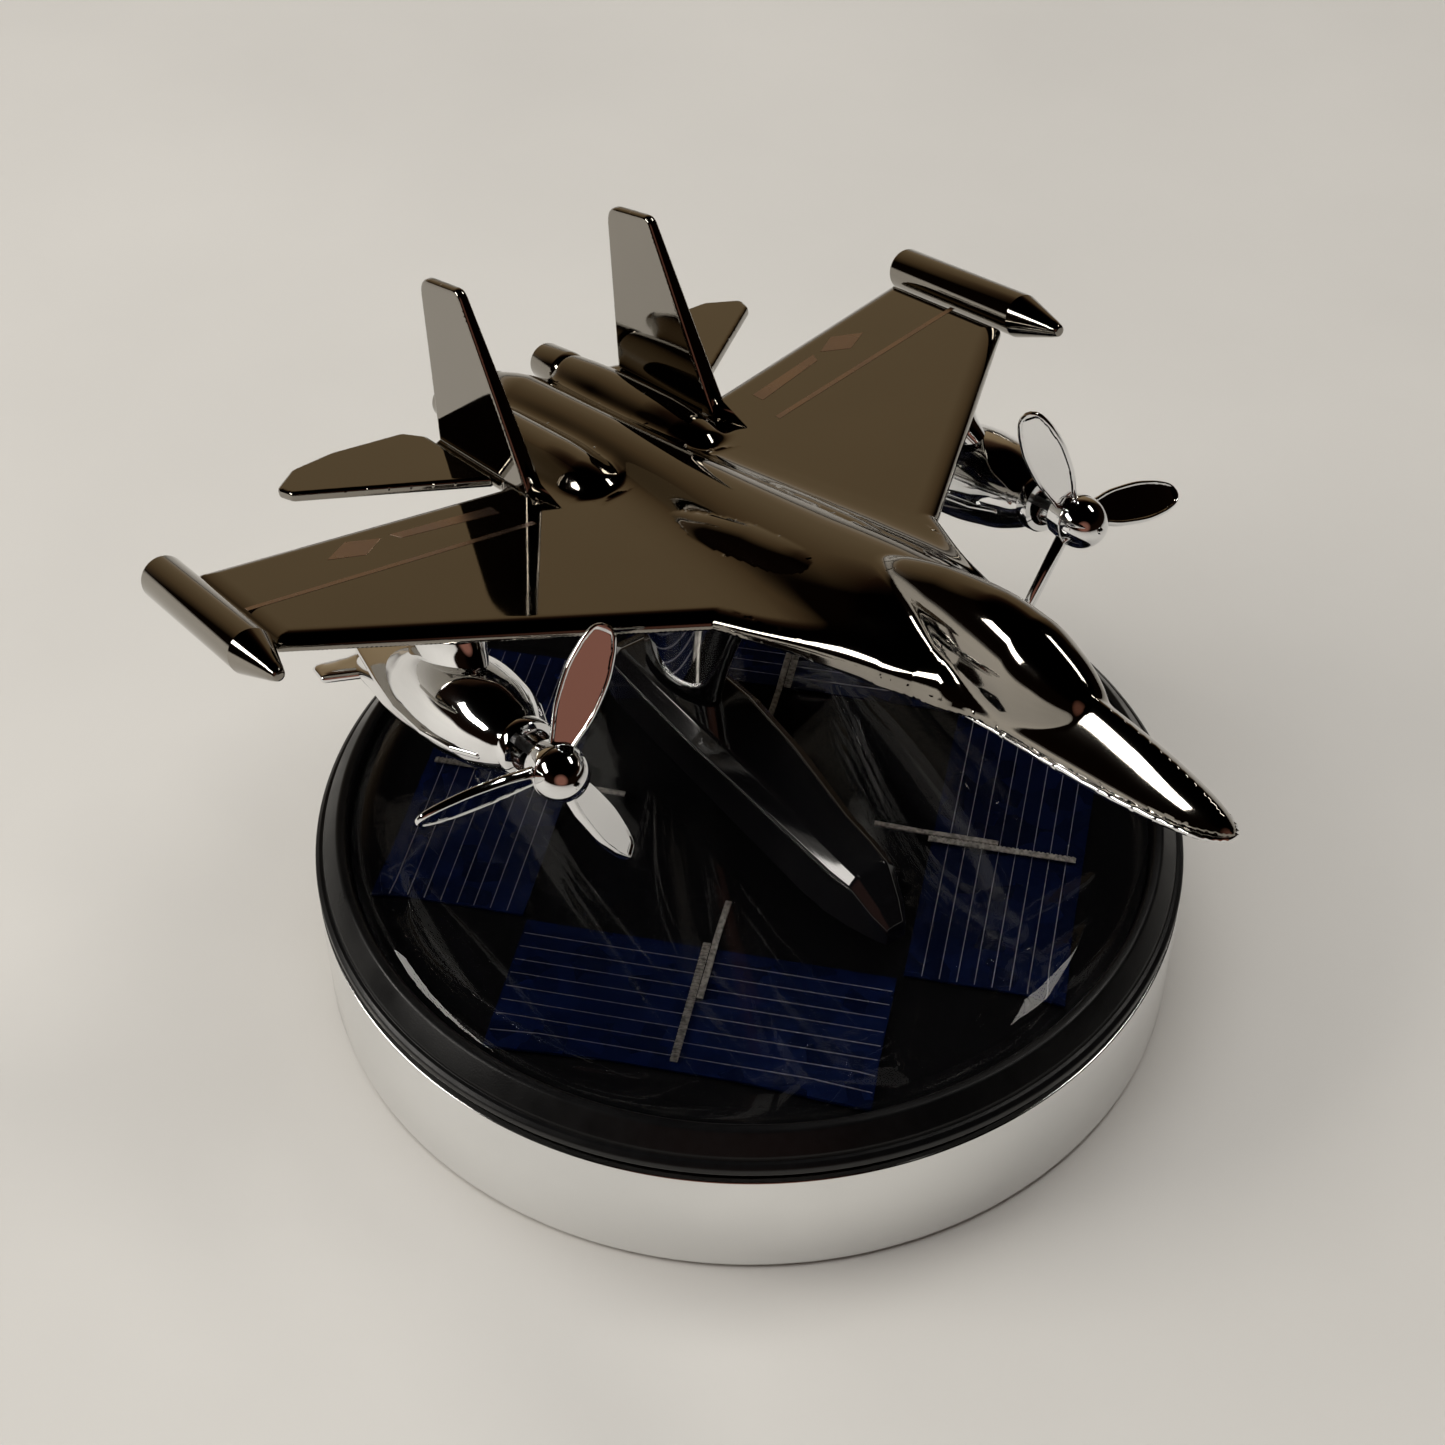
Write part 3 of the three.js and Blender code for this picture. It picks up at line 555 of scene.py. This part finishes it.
# Fillets where the body's solids meet, and the widths over which cut edges are eased.
FILLET = {"wing": 5.0, "shoulder": 3.2, "hump": 1.8, "canopy": 0.7, "belly": 1.2}
EASED = {"flank": 2.2, "upper_seam": 0.35, "lower_seam": 0.3}
# Flat sides of the nose: which way they face, how wide they stand, and where they fade out towards the wings.
FLANK = {"across": 0.788, "up": 0.616, "spread": 1.12, "front": 48, "fade": 20, "retreat": 6}


def rows(table, x):
    """Every column of a station table after its first, read at x."""
    keys = [row[0] for row in table]
    return [fair(keys, [row[k] for row in table], x) for k in range(1, len(table[0]))]


def fuselage_rows(x):
    """Centre height, half-width, rise and drop at x, read so that the nose ends in a dome."""
    keys = np.sqrt(NOSE_TIP - np.array([row[0] for row in FUSELAGE]))[::-1]
    back = np.sqrt(np.maximum(NOSE_TIP - x, 0))
    return [fair(keys, [row[k] for row in FUSELAGE][::-1], back) for k in range(1, 5)]


def oval(across, above, half, rise, drop=None):
    """An oval tube's field from its own middle, with separate heights above and below it."""
    tall = np.where(above > 0, rise, rise if drop is None else drop)
    return (np.sqrt((across / half) ** 2 + (above / tall) ** 2) - 1) * np.minimum(half, tall)


def between(field, x, table):
    """A tube's field, closed past its first and last stations."""
    return np.maximum(field, np.maximum(table[0][0] - x, x - table[-1][0]))


def join(a, b, width):
    """Two fields as one solid, with a fillet of about width where they meet."""
    near = np.maximum(width - np.abs(a - b), 0) / width
    return np.minimum(a, b) - near ** 3 * width / 6


def cut(a, b, width):
    """What two fields share, with the edge where they cross eased over width."""
    return -join(-a, -b, width)


def plate(inward, above, reach, drop):
    """A slab's field from depths past its edge and its face, its rim rolled over from reach to drop."""
    side = (reach - inward) * drop / reach
    face = above + drop
    outside = np.sqrt(np.maximum(side, 0) ** 2 + np.maximum(face, 0) ** 2)
    return outside + np.minimum(np.maximum(side, face), 0) - drop


def inside_of(outline, x, y):
    """How far (x, y) is inside a closed outline."""
    x, y = np.broadcast_arrays(x, y)
    return edge_distance(np.column_stack([x.ravel(), y.ravel()]), outline).reshape(x.shape)


def mirror_outline(half):
    """Closes an outline given from nose to tail along +Y."""
    return [tuple(p) for p in half] + [(p[0], -p[1]) + tuple(p[2:]) for p in reversed(half)]


def seam_height(x):
    """The seam between the shells: flat under the wings, drooping along the nose."""
    return -SKIN - np.maximum(x - KINK, 0) * SEAM_DROOP


def upper_field(x, y, z):
    """Wings, spine, shoulders, engine humps and canopy in one skin, cut off at the seam."""
    wide = np.abs(y)
    centre, half, rise, drop = fuselage_rows(x)
    wing = plate(inside_of(mirror_outline(WING), x, y), z, 2.0, 1.1)
    flank = FLANK["across"] * (wide - half * FLANK["spread"]) + FLANK["up"] * (z - seam_height(x))
    flank = flank - FLANK["retreat"] * np.clip((FLANK["front"] - x) / FLANK["fade"], 0, 1)
    tube = cut(oval(y, z - centre, half, rise, drop), flank, EASED["flank"])
    spine = join(wing, tube, FILLET["wing"])
    middle, width, height = rows(SHOULDER, x)
    shoulder = join(wing, between(oval(wide - middle, z, width, height), x, SHOULDER), FILLET["shoulder"])
    width, height = rows(ENGINE, x)
    hump = between(oval(wide - ENGINE_Y, z + ENGINE_DROP, width, height), x, ENGINE)
    base, width, height = rows(CANOPY, x)
    glass = between(oval(y, z - base, width, height), x, CANOPY)
    body = join(np.minimum(spine, shoulder), hump, FILLET["hump"])
    body = join(body, glass, FILLET["canopy"])
    return cut(body, seam_height(x) - z, EASED["upper_seam"])


def lower_field(x, y, z):
    """Belly and strake slabs, keel and the undersides of the engines, up to the seam."""
    centre, half, rise, drop = fuselage_rows(x)
    depth, = rows(BELLY, x)
    slab = plate(inside_of(mirror_outline(BELLY_PLAN), x, y), -z - depth, 0.9, 0.9)
    keel = oval(y, z - centre, half * 0.985, rise, drop * 0.985)
    width, height = rows(ENGINE, x)
    engine = between(oval(np.abs(y) - ENGINE_Y, z + ENGINE_DROP, width, height), x, ENGINE)
    body = join(join(slab, keel, FILLET["belly"]), engine, FILLET["belly"])
    return cut(body, z - seam_height(x) + SEAM_GAP, EASED["lower_seam"])


def slope_of(field, points, reach=0.02):
    """Field values and slopes at a list of points."""
    ways = np.eye(3) * reach
    slope = np.stack([(field(*(points + way).T) - field(*(points - way).T)) / (2 * reach) for way in ways], 1)
    return field(*points.T), slope


def surface(field, low, high, step):
    """Meshes a field's zero surface: one vertex in each cell that it crosses, drawn on to the surface."""
    axes = [np.arange(a, b + step, step) for a, b in zip(low, high)]
    inside = field(axes[0][:, None, None], axes[1][None, :, None], axes[2][None, None, :]) < 0
    size = [n - 1 for n in inside.shape]
    corners = [inside[i:i + size[0], j:j + size[1], k:k + size[2]]
               for i in (0, 1) for j in (0, 1) for k in (0, 1)]
    crossed = np.any(corners, 0) & ~np.all(corners, 0)
    index = np.full(size, -1)
    index[crossed] = np.arange(crossed.sum())
    start = np.array(low) + (np.argwhere(crossed) + 0.5) * step
    points = start.copy()
    for _ in range(5):
        value, slope = slope_of(field, points)
        points -= slope * (value / np.maximum((slope ** 2).sum(1), 1e-6))[:, None]
        points = np.clip(points, start - step * 0.7, start + step * 0.7)
    faces = []
    for axis in range(3):
        u, v = [k for k in range(3) if k != axis]
        upright = axis != 1
        first = inside.take(range(size[axis]), axis)
        second = inside.take(range(1, size[axis] + 1), axis)
        edges = np.argwhere(first != second)
        within = (edges[:, u] > 0) & (edges[:, v] > 0) & (edges[:, u] < size[u]) & (edges[:, v] < size[v])
        edges = edges[within]
        back_u = np.eye(3, dtype=int)[u]
        back_v = np.eye(3, dtype=int)[v]
        ring = [index[tuple((edges - a * back_u - b * back_v).T)]
                for a, b in ((0, 0), (1, 0), (1, 1), (0, 1))]
        ring = np.stack(ring, 1)
        backwards = first[tuple(edges.T)] != upright
        ring[backwards] = ring[backwards][:, ::-1]
        faces.append(ring)
    return points, np.concatenate(faces)


def field_object(name, fields, place, extra=()):
    """One object from (field, low, high, step) solids and extra skins, shaded by the fields' own slopes."""
    meshed = [surface(*item) for item in fields]
    slopes = [slope_of(item[0], points)[1] for item, (points, _) in zip(fields, meshed)]
    extra_points, extra_faces = merged(extra)
    starts = np.cumsum([0] + [len(points) for points, _ in meshed])
    points = np.concatenate([points for points, _ in meshed] + [np.reshape(extra_points, (-1, 3))])
    faces = [tuple(face) for start, (_, quads) in zip(starts, meshed) for face in (quads + start).tolist()]
    faces += [tuple(int(starts[-1]) + i for i in face) for face in extra_faces]
    turn = np.array(place.to_3x3())
    mesh = bpy.data.meshes.new(name)
    mesh.from_pydata(((points @ turn.T + np.array(place.translation)) * MM).tolist(), [], faces)
    mesh.shade_smooth()
    mesh.set_sharp_from_angle(angle=math.radians(40))
    slope = np.concatenate(slopes) @ turn.T
    slope /= np.linalg.norm(slope, axis=1)[:, None]
    made = np.zeros(len(points) * 3)
    mesh.vertex_normals.foreach_get("vector", made)
    made = made.reshape(-1, 3)
    normals = np.zeros_like(made)
    normals[:len(slope)] = slope
    normals[(normals * made).sum(1) < 0.97] = 0
    mesh.normals_split_custom_set_from_vertices(normals.tolist())
    piece = bpy.data.objects.new(name, mesh)
    bpy.context.scene.collection.objects.link(piece)
    return piece


def nozzles(upper):
    """The engines' tail pipes with hollow mouths, kept above or below the seam."""
    pipe = spun(rounded([(-36.3, 2.1, 0.2), (-31.5, 2.36, 1.5), (-28.5, 2.0), (-28.5, 0), (-34.6, 0),
                         (-34.6, 1.55, 0.15), (-36.3, 1.7, 0.15)], 4), 64)
    level = -SKIN if upper else -SKIN - SEAM_GAP
    return [split(moved(pipe, Matrix.Translation((0, side * ENGINE_Y, -ENGINE_DROP))), level, upper)
            for side in SIDES.values()]


def split(skin, height, upper):
    """The part of a closed skin above or below a level, with the cut closed."""
    work = bmesh.new()
    verts = [work.verts.new(p) for p in skin[0]]
    for face in skin[1]:
        work.faces.new([verts[i] for i in face])
    bmesh.ops.remove_doubles(work, verts=work.verts, dist=1e-4)
    made = bmesh.ops.bisect_plane(work, geom=work.verts[:] + work.edges[:] + work.faces[:],
                                  plane_co=(0, 0, height), plane_no=(0, 0, 1), clear_inner=upper,
                                  clear_outer=not upper)
    rims = [e for e in made["geom_cut"] if isinstance(e, bmesh.types.BMEdge)]
    bmesh.ops.holes_fill(work, edges=rims)
    work.verts.index_update()
    result = [tuple(v.co) for v in work.verts], [tuple(v.index for v in f.verts) for f in work.faces]
    work.free()
    return result


# Each shell's field, the box that holds it, and the size of its cells.
UPPER = (upper_field, (-36.5, -45.3, -5), (82, 45.3, 7.6), 0.33)
LOWER = (lower_field, (-36.5, -13.6, -9.5), (82, 13.6, -1.2), 0.4)
upper_shell = field_object("fine_upper_shell", [UPPER], JET, nozzles(True))
lower_shell = field_object("fine_lower_shell", [LOWER], JET, nozzles(False))
show(upper_shell, "black_chrome", AIRFRAME, "upper_shell")
show(lower_shell, "bright_chrome", AIRFRAME, "lower_shell")


# ---- marks on the wings: a hinge stripe, a bar and a plain lozenge ----
MARKS = [[(-2.2, 15), (-9.2, 44), (-9.9, 44), (-3.0, 15)],
         [(-7.3, 16.4), (-10.6, 26), (-12.2, 26.6), (-9.2, 16.4)],
         [(-10.2, 30.3), (-12.4, 33.6), (-14.4, 30.6), (-12.2, 27.6)]]


def wing_marks(label, side):
    """Thin glossy paint, a hair proud of the wing."""
    low = -0.01
    high = 0.025
    prints = [loft([[(x, side * y, z) for x, y in mark] for z in (low, high)]) for mark in MARKS]
    piece = skin_object(f"wing_marks_{label}", prints, JET)
    return show(piece, "black_chrome", AIRFRAME, finish="wing_paint")


# ---- fins, tailplanes and rails ----
FIN_Y = 11.5
RAIL_Y = 47.3
RAIL_RISE = 0.1
FIN_PLAN = rounded([(-8, -0.6), (-16, 20.3, 1.3), (-24.4, 19.6, 2.4), (-27.4, -0.6)], 6)
TAIL_PLAN = rounded([(-14.6, 12.6), (-29.2, 29.6, 1.2), (-31.5, 30.2, 1.0), (-34.4, 27, 1.5), (-34.7, 22, 3),
                     (-32.6, 14.2, 1), (-29.4, 12.6)], 5)


def fin_field(x, y, z):
    """An upright leaf with a rounded rim, thinner towards its clipped tip."""
    half = 1.0 - 0.45 * np.clip(z, 0, 20.2) / 20.2
    leaf = plate(inside_of(FIN_PLAN, x, z), np.abs(y) - half, 0.38, 0.38)
    return np.maximum(leaf, 0.12 - z)


def tail_field(x, y, z):
    """A flat leaf that lies level with the wing."""
    leaf = plate(inside_of(TAIL_PLAN, x, y), np.abs(z + 0.6) - 0.6, 0.45, 0.4)
    return np.maximum(leaf, 12.95 - y)


def fin(label, side):
    """A fin with a spike at the foot of its leading edge."""
    place = JET @ Matrix.Translation((0, side * FIN_Y, 0))
    wedge = loft([[(x, -half, 0.05), (x, half, 0.05), (x, 0, high)]
                  for x, half, high in [(-10, 1.15, 3.6), (-7.6, 0.75, 1.9), (-3.2, 0.04, 0.08)]])
    solid = (fin_field, (-28, -1.3, -0.2), (-7, 1.3, 20.8), 0.24)
    piece = field_object(f"fine_fin_{label}", [solid], place, [wedge])
    return show(piece, "black_chrome", AIRFRAME, f"fin_{label}")


def tailplane(label, side):
    """A tailplane out to one side; its box runs from the lesser y to the greater."""
    near, far = sorted((12.6 * side, 30.8 * side))
    solid = (lambda x, y, z: tail_field(x, side * y, z), (-35.2, near, -1.6), (-14.2, far, 0.4), 0.26)
    leaf = field_object(f"fine_tailplane_{label}", [solid], JET)
    return show(leaf, "black_chrome", AIRFRAME, f"tailplane_{label}")


def rail(label, side):
    """The tube at a wing's tip, with a blunt tail and a pointed nose."""
    profile = rounded([(-22.5, 0), (-22.5, 2.4, 0.35), (-1.4, 2.4, 0.25), (3.9, 0.95, 0.5), (4.9, 0.6, 0.6),
                       (4.9, 0)], 6, closed=False)
    shape = moved(spun(profile, 72), Matrix.Translation((0, side * RAIL_Y, RAIL_RISE)))
    piece = skin_object(f"fine_tip_rail_{label}", [shape], JET)
    return show(piece, "black_chrome", AIRFRAME, f"tip_rail_{label}")


# ---- motor pods ----
# Pod stations: x, centre height and radius; then the mouth's rolled rim: x and radius.
NACELLE = [(-17, -15.0, 0.05), (-16.4, -14.9, 0.9), (-15, -14.7, 1.5), (-10, -13.5, 2.5), (-4, -11.9, 3.8),
           (3, -10, 4.9), (9, -9.1, 5.2), (14, -8.8, 4.7), (17.5, -8.8, 3.6), (19.2, -8.8, 2.75)]
POD_SEAM = {"rise": 0.15, "height": -12.6}
TAIL_FIN_HALF = 0.4
MOUTH = [(19.4, 2.7), (19.5, 2.95), (20.6, 2.95), (20.8, 2.8), (20.8, 2.2), (16.4, 2.2)]


def nacelle():
    """The teardrop body of a pod with a rolled, recessed mouth."""
    xs = np.concatenate([[-17, -16.9, -16.7], np.linspace(-16.4, 19.2, 70)])
    rings = [(x, *[float(value) for value in rows(NACELLE, x)]) for x in xs]
    rings += [(x, POD_AXIS, radius) for x, radius in MOUTH]
    turn = np.linspace(0, 2 * math.pi, 64, endpoint=False)
    return loft([np.stack([np.full(64, x), r * np.cos(turn), z + r * np.sin(turn)], 1) for x, z, r in rings])


def strut(side):
    """The strut that widens from the pod up to the wing and leans a little inwards."""
    rings = []
    keys = [0, 0.45, 0.8, 1]
    for t in np.linspace(0, 1, 20):
        back, front, half, inward, z = [float(fair(keys, values, t)) for values in
                                        ([-2, -3, -4.4, -5], [14, 12.5, 11.0, 10.6], [1.8, 2.4, 3.2, 3.8],
                                         [0, 0.6, 1.2, 1.4], [-8, -4.8, -2.6, -1.75])]
        turn = np.linspace(0, 2 * math.pi, 64, endpoint=False)
        rings.append(np.stack([(back + front) / 2 + (front - back) / 2 * np.cos(turn),
                               -side * inward + half * np.sin(turn), np.full(64, z)], 1))
    return loft(rings)


def leaf_plate(half_outline, low, high, radius=0.5):
    """A small flat plate with eased edges, symmetric about its middle line."""
    outline = rounded([(*p, radius) for p in mirror_outline(half_outline)], 4)
    middle = (low + high) / 2
    half = (high - low) / 2
    return pillow(outline, lambda x, y, d: middle + bulge(d, half), lambda x, y, d: middle - bulge(d, half),
                  (0.05, 0.15, half), [(1.5, (-20, 14), (-6, 6))])


def pod(label, side):
    """A pod in two halves along a rising seam, hung from the wing by its strut."""
    body = nacelle()
    chine = leaf_plate([(17.2, 3.9), (14, 5.15), (9, 5.75), (3, 5.5), (-3, 4.4), (-9, 3.1), (-12, 2.4)],
                       -9.75, -8.95, 0.3)
    tail = leaf_plate([(-13.4, 0.9), (-16.2, 5), (-19.6, 4.6), (-18.2, 0.9)], -15.3, -14.4)
    fin_outline = rounded([(-17.6, -15), (-14, -15), (-13.2, -12.6), (-16.4, -11.4, 0.6)], 4)
    upright = Matrix.Rotation(math.pi / 2, 4, "X")
    tail_fin = moved(pillow(fin_outline, lambda x, z, d: bulge(d, TAIL_FIN_HALF),
                            lambda x, z, d: -bulge(d, TAIL_FIN_HALF), (0.05, 0.15, TAIL_FIN_HALF)), upright)
    place = Matrix.Translation((0, side * POD_Y, 0))
    tilt = Matrix.Rotation(math.atan(POD_SEAM["rise"]), 4, "Y")
    parting = SEAM_GAP / 2
    upper_body = moved(split(moved(body, tilt), POD_SEAM["height"] + parting, True), tilt.inverted())
    lower_body = moved(split(moved(body, tilt), POD_SEAM["height"] - parting, False), tilt.inverted())
    upper = [moved(s, place) for s in (upper_body, strut(side), chine, tail, tail_fin)]
    lower = [moved(lower_body, place)]
    for part, skins in (("upper", upper), ("lower", lower)):
        piece = skin_object(f"fine_pod_{part}_{label}", skins, JET, 40)
        show(piece, "bright_chrome", AIRFRAME, f"pod_{part}_{label}")


# ---- propellers ----
BLADE_PITCH = math.radians(38)
PROP_X = 24.85
# Blade stations: distance from the axis, chord and thickness.
BLADE = [(1.0, 2.0, 1.3), (3, 2.8, 1.15), (6, 4.1, 1.0), (9, 4.4, 0.9), (11.5, 3.8, 0.8), (13.2, 2.8, 0.7),
         (13.9, 1.9, 0.6), (14.2, 0.9, 0.5)]


def blade():
    """A leaf along Z with a thick rounded rim round flat, slightly sunken faces."""
    keys = [row[0] for row in BLADE]
    rim = 0.3
    sunk = 0.15
    tip = 13.9
    across = np.concatenate([np.linspace(-1, -0.9, 5), np.linspace(-0.86, -0.6, 7), np.linspace(-0.4, 0.4, 5),
                             np.linspace(0.6, 0.86, 7), np.linspace(0.9, 1, 5)])
    rings = []
    for r in 1.0 + 13.2 * (1 - (1 - np.linspace(0, 1, 64)) ** 2.2):
        half = float(fair(keys, [row[1] for row in BLADE], r)) / 2
        thick = float(fair(keys, [row[2] for row in BLADE], r)) / 2
        inward = half * (1 - np.abs(across))
        edge = thick * np.sqrt(np.clip(1 - (1 - inward / rim) ** 2, 0, 1) * (inward < rim) + (inward >= rim))
        t = np.clip((inward - 0.34) / 0.16, 0, 1)
        face = edge - sunk * t * t * (3 - 2 * t) * np.clip((tip - r) / 0.4, 0, 1)
        top = np.column_stack([face, half * across, np.full(len(across), r)])
        under = np.column_stack([-face, half * across, np.full(len(across), r)])
        rings.append(np.concatenate([top, under[-2:0:-1]]))
    return loft(rings)


def propeller(label, side):
    """Hub and three blades, and the spinner with its bright cuff and nipple, parked at their angle."""
    axle = (JET @ Matrix.Translation((PROP_X, side * POD_Y, POD_AXIS))
            @ Matrix.Rotation(math.radians(-PARKED[label]), 4, "X"))
    hub_profile = [(-1.5, 0), (-1.5, 2.3, 0.3), (0.2, 2.6, 0.4), (1.05, 2.75, 0.15), (1.05, 0)]
    hub = spun(rounded(hub_profile, 4, False), 72)
    blades = [moved(blade(), Matrix.Rotation(-k * 2 * math.pi / 3, 4, "X")
                    @ Matrix.Rotation(-BLADE_PITCH, 4, "Z")) for k in range(3)]
    dome_points = [(1.25 + 2.95 * math.sin(a), 2.7 * math.cos(a)) for a in np.linspace(0, 1.45, 16)]
    nose = [(1.2, 0), (1.2, 2.6)] + dome_points + [(4.25, 0.36), (4.5, 0.25), (4.55, 0)]
    show(skin_object(f"fine_propeller_{label}", [hub] + blades, axle, 40), "bright_chrome", f"prop_{label}",
         f"propeller_{label}")
    show(skin_object(f"fine_spinner_{label}", [spun(nose, 72)], axle, 30), "bright_chrome", f"prop_{label}",
         f"spinner_{label}")


for label, side in SIDES.items():
    wing_marks(label, side)
    fin(label, side)
    tailplane(label, side)
    rail(label, side)
    pod(label, side)
    propeller(label, side)


# ---- finishes of the CAD pieces that stay ----
slots = {row["node"]: row["material_slot"] for row in frame["record"]["subparts"]}
for node, piece in frame["nodes"].items():
    if not piece.hide_render:
        piece.data.materials.clear()
        finish = "potted_black" if node == "cell_tray" else slots[node]
        piece.data.materials.append(FINISHES[finish].material)


# ---- floor, light and camera ----
def floor():
    """A pale, barely rough table top under the base."""
    mesh = bpy.data.meshes.new("table_top")
    half = 1.6
    corners = [(-half, -half, 0), (half, -half, 0), (half, half, 0), (-half, half, 0)]
    mesh.from_pydata(corners, [], [(0, 1, 2, 3)])
    piece = bpy.data.objects.new("table_top", mesh)
    bpy.context.scene.collection.objects.link(piece)
    finish = Finish("pale_table", (0.62, 0.6, 0.56), 0.55, IOR=1.45)
    shade = finish.tint(finish.noise(14, 4), [(0.3, (0.61, 0.592, 0.556)), (0.7, (0.65, 0.631, 0.592))])
    finish.link(shade, finish.shader, "Base Color")
    finish.bump(finish.noise(1800, 3), 1e-5, 0.3)
    mesh.materials.append(finish.material)


# The room's colour by height, and a direction with its own colours for the wall and for a warm glow.
ROOM_HEIGHT = [(0.0, (0.36, 0.3, 0.23)), (0.06, (0.27, 0.2, 0.125)), (0.16, (0.225, 0.165, 0.095)),
               (0.4, (0.2, 0.142, 0.078)), (0.52, (0.05, 0.027, 0.016)), (0.66, (0.008, 0.004, 0.003))]
ROOM_WALL = ((-0.906, 0.423, 0), [(0.67, (0.02, 0.012, 0.01)), (0.82, (0.7, 0.64, 0.58)),
                                  (0.97, (1.1, 1.1, 1.1))])
ROOM_GLOW = ((0.75, -0.58, 0.32), [(0.88, (0, 0, 0)), (0.97, (0.2, 0.085, 0.06))])


def sky():
    """A dark room with a dim brown wall behind the jet's tail, brightest near the horizon."""
    world = bpy.data.worlds.new("room")
    bpy.context.scene.world = world
    world.use_nodes = True
    tree = world.node_tree
    direction = tree.nodes.new("ShaderNodeTexCoord").outputs["Generated"]
    split_axes = tree.nodes.new("ShaderNodeSeparateXYZ")
    tree.links.new(direction, split_axes.inputs[0])
    height = color_ramp(tree, split_axes.outputs["Z"], ROOM_HEIGHT)
    wall = world_side(tree, direction, *ROOM_WALL)
    glow = world_side(tree, direction, *ROOM_GLOW)
    mixed = world_mix(tree, "MULTIPLY", height, wall)
    tree.links.new(world_mix(tree, "ADD", mixed, glow), tree.nodes["Background"].inputs["Color"])


def world_side(tree, direction, toward, stops):
    """A ramp over how nearly a direction points one way."""
    facing = tree.nodes.new("ShaderNodeVectorMath")
    facing.operation = "DOT_PRODUCT"
    facing.inputs[1].default_value = toward
    tree.links.new(direction, facing.inputs[0])
    return color_ramp(tree, facing.outputs["Value"], stops)


def world_mix(tree, blend, first, second):
    mix = tree.nodes.new("ShaderNodeMix")
    mix.data_type = "RGBA"
    mix.blend_type = blend
    mix.inputs[0].default_value = 1
    tree.links.new(first, mix.inputs[6])
    tree.links.new(second, mix.inputs[7])
    return mix.outputs[2]


def lamp(name, place, aim, size, power, color=(1, 0.96, 0.9)):
    """A rectangular lamp that shines from place at aim."""
    data = bpy.data.lights.new(name, "AREA")
    data.shape = "RECTANGLE"
    data.size, data.size_y = size
    data.energy = power
    data.color = color
    light = bpy.data.objects.new(name, data)
    light.location = place
    light.rotation_mode = "QUATERNION"
    light.rotation_quaternion = (Vector(aim) - Vector(place)).to_track_quat("-Z", "Y")
    bpy.context.scene.collection.objects.link(light)
    return light


def camera():
    """A 64 mm lens 0.29 m from the jet, 44 degrees above the table and 35 degrees off its nose."""
    azimuth = math.radians(-34.88)
    height = math.radians(43.94)
    level = math.cos(height)
    back = Vector((level * math.cos(azimuth), level * math.sin(azimuth), math.sin(height)))
    right = Vector((0, 0, 1)).cross(back).normalized()
    up = back.cross(right)
    roll = math.radians(-0.22)
    right, up = (right * math.cos(roll) + up * math.sin(roll), up * math.cos(roll) - right * math.sin(roll))
    data = bpy.data.cameras.new("camera")
    data.sensor_width = 36
    data.lens = 64.39
    data.clip_start = 0.01
    piece = bpy.data.objects.new("camera", data)
    turn = Matrix((right, up, back)).transposed()
    piece.matrix_world = Matrix.Translation((0.1587, -0.1141, 0.2192)) @ turn.to_4x4()
    bpy.context.scene.collection.objects.link(piece)
    bpy.context.scene.camera = piece


floor()
sky()
lamp("window", (-0.34, -0.59, 0.41), (0.04, 0, 0.06), (0.44, 0.13), 2.7)
lamp("small_lamp", (0.02, 0.46, 0.7), (0, 0, 0.05), (0.3, 0.1), 0.9)
fill = lamp("ceiling_bounce", (-0.1, -0.15, 1.0), (0, 0, 0), (1.2, 1.2), 10.3, (1, 0.995, 0.985))
fill.visible_glossy = False
fill.visible_transmission = False
camera()
bpy.context.scene.view_settings.view_transform = "Standard"
